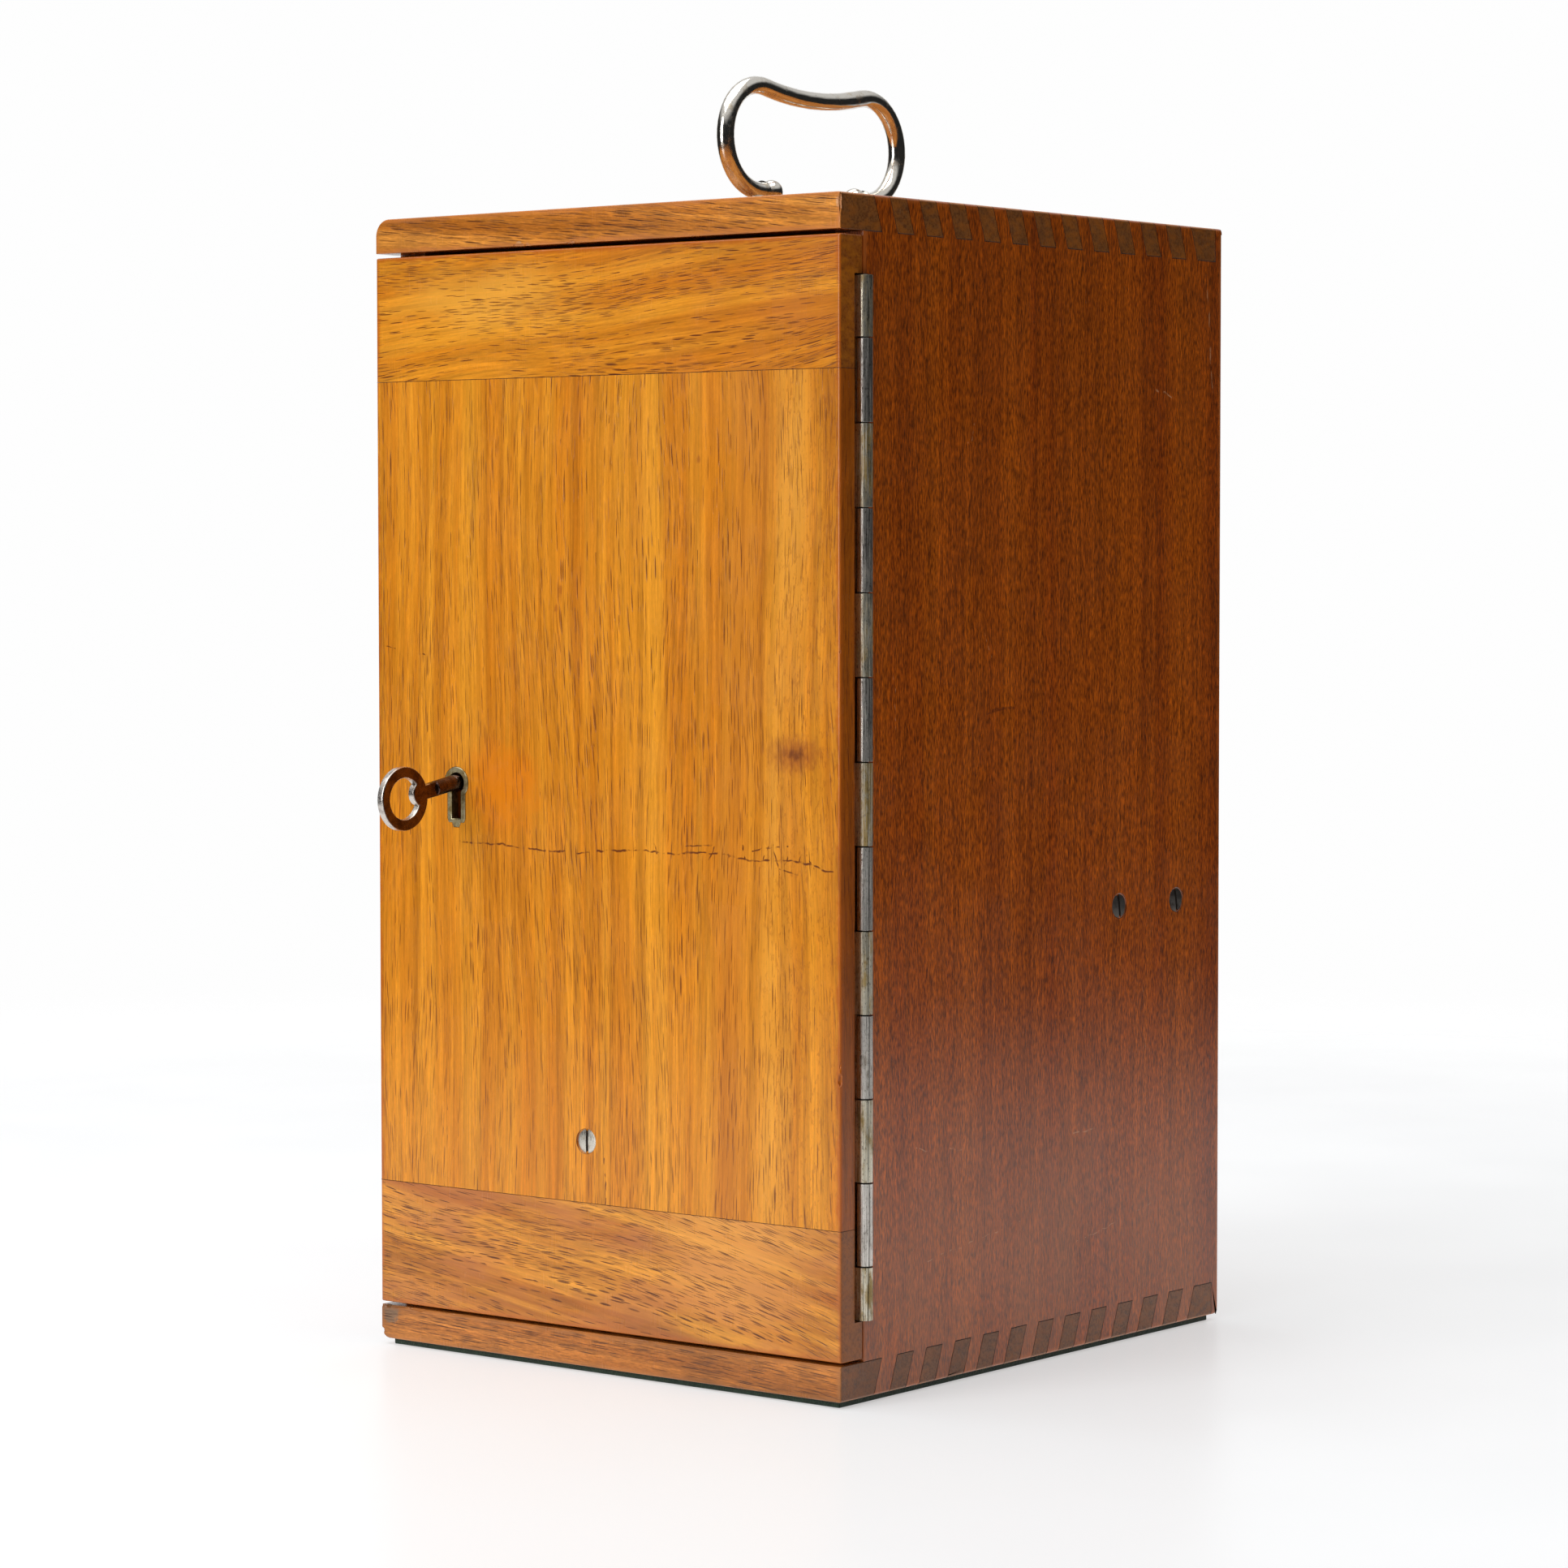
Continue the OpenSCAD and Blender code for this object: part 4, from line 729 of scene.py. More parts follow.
# The screws of the case: slotted countersunk wood screws, brass at the back and
# darkened steel in the sides. Each row is one screw repeated by a node tree.
def metal(name, colours, roughness, spots=0.5, scratches=0.3, grime=tint(40, 28, 20),
          attribute=None):
    """Old metal. colours are its bright and its tarnished colour, spots the tarnished share."""
    made, g, shader = new_material(name)
    place = g.put("ShaderNodeTexCoord").outputs["Object"]
    cloud = g.noise(place, (210.0,) * 3, 4.0, 0.65)
    specks = g.noise(place, (1500.0,) * 3, 2.0, 0.6)
    lines = g.noise(place, (5200.0, 420.0, 700.0), 1.0)
    tarnish = g.remap(cloud, 0.62 - 0.3 * spots, 0.78 - 0.2 * spots)
    colour = g.mix(tarnish, *colours)
    colour = g.mix(g.remap(specks, 0.62, 0.72, 0.0, 0.6 * spots + 0.1), colour, grime)
    if attribute:
        dirty = g.put("ShaderNodeAttribute", attribute_name=attribute).outputs["Fac"]
        colour = g.mix(dirty, colour, grime)
        keep = g.minus(1.0, g.times(dirty, 0.9))
        wire(g, shader, Metallic=keep)
    else:
        shader.inputs["Metallic"].default_value = 1.0
    rough = g.plus(g.times(tarnish, 0.22), g.remap(lines, 0.3, 0.7, 0.0, 0.12))
    wire(g, shader, Base_Color=colour, Roughness=g.plus(rough, roughness))
    height = g.plus(g.times(lines, scratches), g.times(specks, 0.25))
    bump = g.put("ShaderNodeBump", {"Height": height, "Distance": 0.00004, "Strength": 0.6})
    wire(g, shader, Normal=bump.outputs[0])
    return made


aged_brass = metal("Aged brass", (tint(196, 164, 98), tint(134, 100, 54)), 0.26, attribute="grime")
dark_steel = metal("Dark steel", (tint(112, 106, 100), tint(62, 56, 52)), 0.30, attribute="grime")
bright_nickel = metal(
    "Worn nickel", (tint(216, 210, 198), tint(168, 158, 142)), 0.20, 0.3, attribute="grime"
)


def turned(name, profile, sides=40):
    """A turned piece about Z. profile holds (radius, height) from the top down."""
    bm = bmesh.new()
    rings = []
    for radius, height in profile:
        if radius < 1e-7:
            rings.append([bm.verts.new((0, 0, height))] * sides)
        else:
            rings.append([
                bm.verts.new((radius * math.cos(a), radius * math.sin(a), height))
                for a in (2 * math.pi * k / sides for k in range(sides))
            ])
    for upper, lower in zip(rings, rings[1:]):
        for k in range(sides):
            n = (k + 1) % sides
            corners = list(dict.fromkeys((upper[k], lower[k], lower[n], upper[n])))
            if len(corners) > 2:
                bm.faces.new(corners)
    bmesh.ops.recalc_face_normals(bm, faces=bm.faces)
    return new_piece(bm, name)


def slotted_screw(name, head_r, length):
    """One wood screw, head up at the origin, with a slot and a grime attribute in it."""
    shank_r = head_r / 2
    dome = 0.05 * head_r
    profile = [
        (0, 0), (head_r * 0.5, -dome * 0.25), (head_r * 0.85, -dome * 0.7),
        (head_r, -dome - 0.00003),
        (head_r, -dome - 0.0002), (shank_r, -head_r + shank_r), (shank_r, 2 * shank_r - length),
        (shank_r * 0.45, -length), (0, -length),
    ]
    screw = turned(name, profile)
    slot_half, slot_deep = 0.11 * head_r + 0.00006, 0.17 * head_r + 0.0001
    bm = bmesh.new()
    bmesh.ops.create_cube(bm, size=1.0)
    for v in bm.verts:
        v.co = Vector((v.co.x * 3 * head_r, v.co.y * 2 * slot_half, v.co.z * 2 * slot_deep))
    blade = new_piece(bm, "blade")
    cut = screw.modifiers.new("Slot", "BOOLEAN")
    cut.object = blade
    cut.operation = "DIFFERENCE"
    cut.solver = "EXACT"
    settle(screw)
    bpy.data.objects.remove(blade)
    grime = screw.data.attributes.new("grime", "FLOAT", "POINT")
    for k, v in enumerate(screw.data.vertices):
        deep = v.co.z < -0.8 * slot_deep and v.co.xy.length < head_r * 0.99
        rim = v.co.xy.length > head_r * 0.97
        grime.data[k].value = 1.0 if deep else 0.55 if rim else 0.0
    smooth(screw, 30)
    return screw


def socket_of(tree, label):
    items = tree.interface.items_tree
    found = [item for item in items if item.name == label and item.in_out == "INPUT"]
    return found[0].identifier


def screw_tree():
    """Sets one screw on each point, turned about the screws' axis by the point's own angle."""
    tree = bpy.data.node_groups.new("Screws on points", "GeometryNodeTree")
    for label, kind in {
        "Points": "NodeSocketGeometry", "Screw": "NodeSocketObject", "Axis": "NodeSocketVector",
        "Finish": "NodeSocketMaterial",
    }.items():
        tree.interface.new_socket(label, in_out="INPUT", socket_type=kind)
    tree.interface.new_socket("Screws", in_out="OUTPUT", socket_type="NodeSocketGeometry")
    g = Graph(tree)
    inn = g.put("NodeGroupInput").outputs
    angle = g.put("GeometryNodeInputNamedAttribute", {"Name": "turn"}, data_type="FLOAT")
    turn = g.put("FunctionNodeAxisAngleToRotation", {"Axis": inn["Axis"], "Angle": angle.outputs[0]})
    shape = g.put("GeometryNodeObjectInfo", {"Object": inn["Screw"], "As Instance": True})
    many = g.put("GeometryNodeInstanceOnPoints", {
        "Points": inn["Points"], "Instance": shape.outputs["Geometry"], "Rotation": turn.outputs[0],
    })
    real = g.put("GeometryNodeRealizeInstances", {0: many.outputs[0]})
    last = g.put("GeometryNodeSetMaterial", {"Geometry": real.outputs[0], "Material": inn["Finish"]})
    end = g.put("NodeGroupOutput").inputs
    tree.links.new(last.outputs[0], end["Screws"])
    return tree


screws_on_points = screw_tree()


def screw_row(node, name, axis, finish, body, slot, turns=None, seed=1):
    """Puts wood screws where a CAD node has them. axis points out of their heads."""
    axis = Vector(axis)
    along = max(range(3), key=lambda k: abs(axis[k]))
    across = (along + 1) % 3
    boxes = solids(node)
    low, high = boxes[0]
    screw = slotted_screw(name + "_one", (high[across] - low[across]) / 2, high[along] - low[along])
    screw.data.transform(axis.to_track_quat("Z", "Y").to_matrix().to_4x4())
    points = bpy.data.meshes.new(name)
    heads = [
        Vector(
            (high if axis[k] > 0 else low)[k] if k == along else (low[k] + high[k]) / 2
            for k in range(3)
        )
        for low, high in boxes
    ]
    points.from_pydata(heads, [], [])
    dice = random.Random(seed)
    turn = points.attributes.new("turn", "FLOAT", "POINT")
    for k in range(len(heads)):
        turn.data[k].value = turns[k] if turns else dice.uniform(0, math.pi)
    row = bpy.data.objects.new(name, points)
    bpy.context.scene.collection.objects.link(row)
    modifier = row.modifiers.new("Screws", "NODES")
    modifier.node_group = screws_on_points
    modifier[socket_of(screws_on_points, "Screw")] = screw
    modifier[socket_of(screws_on_points, "Axis")] = axis
    modifier[socket_of(screws_on_points, "Finish")] = finish
    settle(row)
    bpy.data.objects.remove(screw)
    return place_piece(row, body, slot, finish, node)


BACK, FRONT, RIGHT, LEFT, DOWN = (0, 1, 0), (0, -1, 0), (1, 0, 0), (-1, 0, 0), (0, 0, -1)
screw_row("back_screws", "screws_back", BACK, aged_brass, "case", "screw_brass", seed=3)
screw_row(
    "side_screws_right", "screws_right", RIGHT, dark_steel, "case", "dark_steel",
    turns=[math.radians(100)] * 2,
)
screw_row("side_screws_left", "screws_left", LEFT, dark_steel, "case", "dark_steel", seed=5)
screw_row("cleat_screws", "screws_cleats", DOWN, aged_brass, "case", "screw_brass", seed=6)


# Inside the case: three cleats on the floor keep the instrument's foot in place,
# and the cradle board across the back steadies its limb. All are plain oiled wood.
INSIDE = (
    tint(150, 92, 48), tint(196, 134, 78), tint(92, 52, 26), tint(140, 92, 54), tint(206, 150, 96)
)
for node, name, axes, start in (
    ("left_cleat", "cleat_left", (1, 0, 2), (0.2, 0.1, 0.4)),
    ("right_cleat", "cleat_right", (1, 0, 2), (0.6, 0.3, 0.9)),
    ("rear_cleat", "cleat_rear", ALONG_X, (0.1, 0.8, 0.2)),
    ("cradle_board", "board_cradle", ALONG_X, (0.5, 0.2, 0.6)),
):
    low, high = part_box(node)
    piece = merged_copy(node, name)
    soften(piece, lambda place: 0.5 * MM)
    smooth(piece)
    place_piece(
        piece, "case", "inside_wood",
        wood(name, axes, start, INSIDE, low, high, pore_share=0.7, coat=0.0, dirt=0.2), node,
    )


# The felt that lines the cradle's notch: one strip of green wool, glued round it
# and as wide as the board is thick.
strip = merged_copy("cradle_felt", "felt_in_cradle")
for v in strip.data.vertices:
    v.co.z += 0.0 if abs(v.co.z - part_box("cradle_felt")[0].z) < MM else -0.3 * MM
soften(strip, lambda place: 0.4 * MM, 2)
fuzzy(strip, 0.08 * MM, 700)
smooth(strip, 60)
place_piece(strip, "case", "felt", green_felt, "cradle_felt")


# The strike: a brass plate let into the left side board, with the slot that the
# bolt enters and two small screws.
lock_brass = metal("Lock brass", (tint(202, 168, 100), tint(140, 104, 56)), 0.22, 0.6)
strike = merged_copy("strike_plate", "plate_strike", "strike_screws")
soften(strike, lambda place: 0.12 * MM)
smooth(strike)
place_piece(strike, "case", "lock_brass", lock_brass, "strike_plate")
screw_row("strike_screws", "screws_strike", RIGHT, aged_brass, "case", "screw_brass", seed=8)


# The hinge: a strip as long as the door, rolled from sheet. The case's leaf is
# darkened steel, the door's is nickel worn to the brass, and each knuckle has
# the seam where the sheet meets itself. The gaps between the knuckles are
# painted dark, as painted shade.
pin_low, pin_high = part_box("hinge_pin")
hinge_axis = (pin_low + pin_high) / 2


def hinge_metal(name, colours, roughness, spots, seam_angle):
    """Rolled sheet metal, marked by the rolls along the strip, with a dark seam in the knuckles and
    painted shade on their end faces.
    """
    made, g, shader = new_material(name)
    place = g.put("ShaderNodeTexCoord").outputs["Object"]
    cloud = g.noise(place, (260.0, 260.0, 110.0), 4.0, 0.7)
    specks = g.noise(place, (2100.0, 2100.0, 900.0), 2.0, 0.65)
    rolled = g.noise(place, (3600.0, 3600.0, 90.0), 2.0)
    tarnish = g.remap(cloud, 0.62 - 0.3 * spots, 0.80 - 0.25 * spots)
    colour = g.mix(tarnish, *colours)
    colour = g.mix(g.remap(specks, 0.55, 0.70, 0.0, 0.65), colour, tint(66, 46, 26))
    from_axis = g.vector("SUBTRACT", place, tuple(hinge_axis))
    x, y, _ = g.parts(from_axis)
    angle = g.maths("ARCTAN2", y, x)
    off = g.maths("ABSOLUTE", g.minus(angle, math.radians(seam_angle)))
    seam = g.remap(off, 0.03, 0.075, 1.0, 0.0)
    colour = g.mix(g.times(seam, 0.85), colour, tint(24, 18, 14))
    streaks = g.noise(place, (2900.0, 2900.0, 40.0), 2.0, 0.7)
    colour = g.mix(g.remap(streaks, 0.50, 0.64, 0.0, 0.5), colour, tint(66, 58, 48))
    colour = g.mix(g.remap(streaks, 0.38, 0.46, 0.6, 0.0), colour, tint(250, 244, 232))
    # Painted shade: the knuckles' end faces, turned up and down into the gaps between knuckles, are
    # painted near black, as the shade in those gaps.
    normal = g.put("ShaderNodeTexCoord").outputs["Normal"]
    ends = g.remap(g.maths("ABSOLUTE", g.parts(normal)[2]), 0.2, 0.5)
    colour = g.mix(g.times(ends, 0.9), colour, tint(20, 14, 10))
    rough = g.plus(g.times(tarnish, 0.2), g.remap(rolled, 0.3, 0.7, 0.0, 0.14))
    height = g.plus(g.times(rolled, 0.5), g.times(specks, 0.4))
    height = g.minus(height, g.times(seam, 2.0))
    bump = g.put("ShaderNodeBump", {"Height": height, "Distance": 0.00005, "Strength": 0.7})
    wire(g, shader, Base_Color=colour, Roughness=g.plus(rough, roughness),
         Normal=bump.outputs[0])
    shader.inputs["Metallic"].default_value = 1.0
    return made


light_hinge = hinge_metal("Worn hinge", (tint(232, 224, 202), tint(186, 160, 108)), 0.26, 0.7, -28)
dark_hinge = hinge_metal("Dark hinge", (tint(226, 220, 212), tint(156, 146, 134)), 0.24, 0.4, -20)
for node, name, body, finish, slot in (
    ("hinge_leaf_case", "leaf_of_case", "case", dark_hinge, "dark_hinge"),
    ("hinge_leaf_door", "leaf_of_door", "door", light_hinge, "light_hinge"),
):
    leaf = merged_copy(node, name)
    soften(leaf, lambda place: 0.16 * MM, 2)
    smooth(leaf)
    place_piece(leaf, body, slot, finish, node)
pin_r = (pin_high.x - pin_low.x) / 2
pin_l = pin_high.z - pin_low.z
pin = turned("pin_of_hinge", [
    (0, 0), (pin_r - 0.2 * MM, 0), (pin_r, -0.2 * MM), (pin_r, 0.2 * MM - pin_l),
    (pin_r - 0.2 * MM, -pin_l), (0, -pin_l),
], 24)
pin.data.transform(Matrix.Translation((hinge_axis.x, hinge_axis.y, pin_high.z)))
smooth(pin)
place_piece(pin, "case", "dark_steel", dark_steel, "hinge_pin")
screw_row("hinge_screws_case", "screws_hinge_case", FRONT, dark_steel, "case", "dark_steel", seed=9)
screw_row("hinge_screws_door", "screws_hinge_door", BACK, dark_steel, "door", "dark_steel", seed=10)


# The door: a golden panel with upright grain, and a rail with level grain across
# each end that keeps it flat. Its long arrises are rubbed to a redder wood, a
# ribbon of pale wood with one knot runs down the right, and an old hairline
# crack crosses it below the keyhole.
door_low, door_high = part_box("door_panel")
door_low = Vector((door_low.x, door_low.y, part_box("door_bottom_rail")[0].z))
door_high = Vector((door_high.x, door_high.y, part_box("door_top_rail")[1].z))
DOOR_WOOD = (
    tint(206, 121, 20), tint(230, 151, 38), tint(100, 44, 10), tint(160, 88, 22), tint(184, 92, 20)
)
KNOT = Vector((77.5 * MM, front_y, 197.5 * MM))
KEYHOLE = Vector((-60.7 * MM, front_y, 184.8 * MM))
CRACK = (
    # the crack's corners on the door: X and Z in millimetres
    (-59.8, 165.9), (-38.8, 165.4), (-20.0, 164.6), (-3.1, 164.3), (13.6, 166.4), (30.0, 165.6),
    (46.2, 166.8), (62.1, 165.0), (76.3, 165.4), (92.0, 163.0),
)
SPLITS = (
    # short splits across the crack: X, Z, lean and half length in millimetres
    (14.0, 166.0, 0.8, 2.6), (22.5, 167.2, -0.6, 1.8), (45.0, 167.0, 1.2, 2.4),
    (52.0, 167.6, 0.5, 3.0), (58.5, 166.4, -1.0, 3.2), (66.0, 165.8, 1.6, 3.4),
    (70.5, 165.2, -1.3, 4.2), (75.0, 165.8, 1.9, 3.8), (79.5, 164.8, 0.6, 3.4),
    (84.0, 164.2, -1.4, 2.6), (40.0, 168.6, 5.0, 0.6), (68.0, 168.8, 7.0, 0.9),
    (72.0, 162.4, 6.5, -1.1),
)
FLECKS = ((-16.2, 246.5, 1.6), (-18.0, 240.9, 1.2), (-54.7, 132.7, 1.5), (40.2, 287.0, 1.2))


def door_marks(g, place, colour):
    x, _, z = g.parts(place)
    lean = g.maths("SINE", g.times(g.minus(z, 0.18), 12.4))
    middle = g.minus(x, g.plus(g.times(lean, 0.0041), 0.0728))
    ribbon = g.remap(g.maths("ABSOLUTE", middle), 0.003, 0.010, 1.0, 0.0)
    patchy = g.remap(g.noise(place, (60.0, 60.0, 16.0), 2.0), 0.35, 0.65, 0.35, 1.0)
    colour = g.mix(g.times(g.times(ribbon, patchy), 0.65), colour,
                   tint(240, 166, 58))
    browner = g.remap(g.maths("ABSOLUTE", g.plus(middle, 0.018)), 0.002, 0.010, 0.45, 0.0)
    colour = g.mix(browner, colour, tint(196, 112, 30))
    dots = g.remap(g.noise(place, (1100.0, 1100.0, 380.0), 2.0, 0.7), 0.55, 0.68)
    dots = g.times(dots, g.remap(middle, -0.014, 0.002))
    colour = g.mix(g.times(dots, 0.38), colour, tint(150, 78, 22))
    from_knot = g.vector("MULTIPLY", g.vector("SUBTRACT", place, tuple(KNOT)), (0.36, 1.0, 0.7))
    away = g.vector("LENGTH", from_knot)
    swirl = g.noise(place, (900.0, 900.0, 500.0), 3.0)
    heart = g.remap(g.plus(away, g.times(swirl, 0.004)), 0.003, 0.0075, 1.0, 0.0)
    colour = g.mix(g.times(heart, 0.62), colour, tint(150, 76, 34))
    core = g.remap(g.plus(away, g.times(swirl, 0.003)), 0.0016, 0.0034, 1.0, 0.0)
    colour = g.mix(g.times(core, 0.7), colour, tint(96, 44, 24))
    for fx, fz, size in FLECKS:
        at = g.vector("SUBTRACT", place, (fx * MM, front_y, fz * MM))
        far = g.vector("LENGTH", g.vector("MULTIPLY", at, (1.0, 1.0, 0.55)))
        far = g.plus(far, g.times(swirl, size * MM))
        spot = g.remap(far, size * 0.7 * MM, size * 1.3 * MM, 0.55, 0.0)
        colour = g.mix(spot, colour, tint(150, 76, 30))
    from_lock = g.vector("SUBTRACT", place, (KEYHOLE.x + 20 * MM, front_y, KEYHOLE.z - 1 * MM))
    cloud = g.noise(place, (90.0,) * 3, 3.0, 0.6)
    spread = g.vector("LENGTH", g.vector("MULTIPLY", from_lock, (0.75, 1.0, 1.0)))
    stain = g.remap(g.plus(spread, g.times(cloud, 0.022)), 0.016, 0.028, 0.8, 0.0)
    return g.mix(stain, colour, tint(222, 124, 12))


def flank_marks(g, place, colour):
    normal = g.put("ShaderNodeTexCoord").outputs["Normal"]
    flank = g.remap(g.maths("ABSOLUTE", g.parts(normal)[0]), 0.45, 0.9)
    darker = g.mix(1.0, colour, (0.60, 0.40, 0.20, 1.0), "MULTIPLY")
    return g.mix(flank, colour, darker)


def crack_marks(g, place, colour):
    line = None
    for (x0, z0), (x1, z1) in zip(CRACK, CRACK[1:]):
        part = g.group(
            hairline, Place=place, From=(x0 * MM, front_y, z0 * MM), To=(x1 * MM, front_y, z1 * MM),
            Width=0.42 * MM,
        )["Mark"]
        line = part if line is None else g.maths("MAXIMUM", line, part)
    below = g.group(
        hairline, Place=place, From=(1.6 * MM, front_y, 68.5 * MM), To=(1.5 * MM, front_y, 50.0 * MM),
        Width=0.3 * MM,
    )["Mark"]
    edge = g.group(
        hairline, Place=place, From=(-92.0 * MM, front_y, 228.8 * MM),
        To=(-73.6 * MM, front_y, 225.4 * MM), Width=0.3 * MM,
    )["Mark"]
    line = g.maths("MAXIMUM", line, g.maths("MAXIMUM", below, edge))
    for x, z, lean, reach in SPLITS:
        split = g.group(
            hairline, Place=place, From=((x - lean) * MM, front_y, (z - reach) * MM),
            To=((x + lean) * MM, front_y, (z + reach) * MM), Width=0.34 * MM,
        )["Mark"]
        line = g.maths("MAXIMUM", line, split)
    return g.mix(g.times(line, 0.95), colour, tint(100, 46, 18))


def top_rail_marks(g, place, colour):
    # Painted light: a soft pale patch is painted on the left of the rail, and painted shade darkens
    # the rail towards its right end.
    pale = g.vector("SUBTRACT", place, (-48 * MM, front_y, 339 * MM))
    spread = g.vector("LENGTH", g.vector("MULTIPLY", pale, (0.30, 1.0, 1.0)))
    cloud = g.times(g.noise(place, (50.0, 50.0, 120.0), 3.0), 0.014)
    painted_light_patch = g.remap(g.plus(spread, cloud), 0.008, 0.024, 0.65, 0.0)
    colour = g.mix(painted_light_patch, colour, tint(246, 176, 66))
    painted_shade_right = g.remap(g.parts(place)[0], 0.0, 0.095, 0.0, 0.5)
    painted_shade_right = g.times(painted_shade_right, g.remap(g.noise(place, (30.0, 30.0, 90.0), 3.0), 0.35, 0.65))
    return g.mix(painted_shade_right, colour, tint(188, 104, 34))


def bottom_rail_marks(g, place, colour):
    reddish = g.remap(g.noise(place, (22.0, 22.0, 70.0), 3.0, 0.6), 0.40, 0.66, 0.0, 0.6)
    colour = g.mix(reddish, colour, tint(184, 110, 62))
    pale = g.remap(g.vector("DISTANCE", place, (52 * MM, front_y, 50 * MM)), 0.008, 0.045, 0.5, 0.0)
    return g.mix(pale, colour, tint(238, 164, 78))


def door_edges(place):
    on = on_planes(place, door_low, door_high)
    if on > 1:
        return 0.8 * MM if abs(place.y - front_y) < 0.25 * MM else 0.5 * MM
    return 0.08 * MM


for node, name, axes, start, colours, marks, pores, tilt in (
    ("door_panel", "door_panel_wood", ALONG_Z, (0.0, 0.1, 0.4), DOOR_WOOD,
     [door_marks, crack_marks, flank_marks], 0.55, 0.0),
    ("door_top_rail", "door_rail_top", ALONG_X_UPRIGHT, (0.7, 0.2, 0.1), DOOR_WOOD,
     [top_rail_marks, flank_marks], 0.9, -0.10),
    ("door_bottom_rail", "door_rail_bottom", ALONG_X_UPRIGHT, (0.2, 0.6, 0.5),
     (tint(168, 92, 18), tint(230, 154, 52), tint(90, 42, 10), tint(150, 84, 26),
      tint(186, 102, 36)),
     [bottom_rail_marks, flank_marks], 1.1, 0.16),
):
    piece = merged_copy(node, name, "escutcheon", "door_block_screw")
    soften(piece, door_edges, joints=True)
    if node == "door_panel":
        chip(piece, (door_high.x, front_y, 100 * MM), (0.9 * MM, 0.9 * MM, 2.6 * MM), 41)
        chip(piece, (door_high.x, front_y, 104.5 * MM), (0.5 * MM, 0.5 * MM, 1.6 * MM), 42)
        chip(piece, (door_high.x, front_y, 229 * MM), (0.5 * MM, 0.5 * MM, 1.2 * MM), 43)
    smooth(piece)
    place_piece(
        piece, "door", "door_wood" if node == "door_panel" else "rail_wood",
        wood(name, axes, start, colours, door_low, door_high,
             wander=0.02 if axes == ALONG_Z else 0.034,
             pore_length=0.0058 if axes == ALONG_Z else 0.0042, pore_share=pores, tilt=tilt,
             marks=marks, dirt=0.18, pore_depth=0.9 if axes == ALONG_Z else 1.0, fleck=0.06,
             band=1.0 if axes == ALONG_Z else 1.3),
        node,
    )


# The keyhole liner: a thick ring of nickelled brass with a pointed foot, let into
# the door. The key has polished its rim, and the rest has gone dull.
liner_metal = metal("Keyhole liner", (tint(186, 174, 138), tint(118, 100, 62)), 0.28, 0.8)
liner = merged_copy("escutcheon", "liner_of_keyhole")
soften(liner, lambda place: 0.25 * MM)
smooth(liner)
place_piece(liner, "door", "liner_metal", liner_metal, "escutcheon")


# The lock: a brass cap riveted on its plate, screwed to the inside of the door,
# with the bolt, its steel stud and spring, and the stud that the key fits over.
for node, name, width in (("lock_plate", "lock_back_plate", 0.2), ("lock_cap", "lock_box", 0.5)):
    piece = merged_copy(node, name)
    soften(piece, lambda place: width * MM)
    smooth(piece)
    place_piece(piece, "door", "lock_brass", lock_brass, node)
for node, name, body, slot, finish, width in (
    ("lock_spring", "spring_of_lock", "door", "dark_steel", dark_steel, 0.08),
    ("lock_stud", "stud_of_lock", "door", "dark_steel", dark_steel, 0.1),
    ("drill_pin", "stud_of_key", "key_stud", "dark_steel", dark_steel, 0.15),
    ("lock_bolt", "bolt_of_lock", "bolt", "lock_brass", lock_brass, 0.3),
):
    piece = merged_copy(node, name)
    soften(piece, lambda place: width * MM)
    smooth(piece)
    place_piece(piece, body, slot, finish, node)
screw_row("lock_screws", "screws_lock", BACK, aged_brass, "door", "screw_brass", seed=12)


# The block and pad inside the door, which hold the instrument back in its cradle,
# and the one large nickelled screw that goes through the door into the block.
block_low, block_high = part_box("door_block")
block = merged_copy("door_block", "block_in_door")
soften(block, lambda place: 0.8 * MM)
smooth(block)
place_piece(
    block, "door", "inside_wood",
    wood("block_in_door", ALONG_X, (0.3, 0.3, 0.3), INSIDE, block_low, block_high, coat=0.0,
         dirt=0.2),
    "door_block",
)
pad_low, pad_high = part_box("door_pad")
pad = felt_slab("pad_on_block", pad_low, pad_high, 2 * MM, 0.5 * MM)
pad_middle = (pad_low + pad_high) / 2
for v in pad.data.vertices:
    across = abs(v.co.x - pad_middle.x) / (pad_high.x - pad_low.x) * 2
    up = abs(v.co.z - pad_middle.z) / (pad_high.z - pad_low.z) * 2
    crown = (1 - across ** 4) * (1 - up ** 4)
    depth = (v.co.y - pad_low.y) / (pad_high.y - pad_low.y)
    v.co.y += 0.9 * MM * (crown - 0.6) * depth
fuzzy(pad, 0.1 * MM, 600)
smooth(pad, 60)
place_piece(pad, "door", "felt", green_felt, "door_pad")
screw_row(
    "door_block_screw", "screw_in_door", FRONT, bright_nickel, "door", "bright_steel",
    turns=[math.radians(90)],
)


# The key: steel, browned with age and bright where fingers and pockets rub it.
# Its bow is an oval ring with a lobe towards the stem.
key_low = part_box("key")[0]
BOW_MIDDLE = Vector((KEYHOLE.x, key_low.y + 10.8 * MM, KEYHOLE.z - 4 * MM))


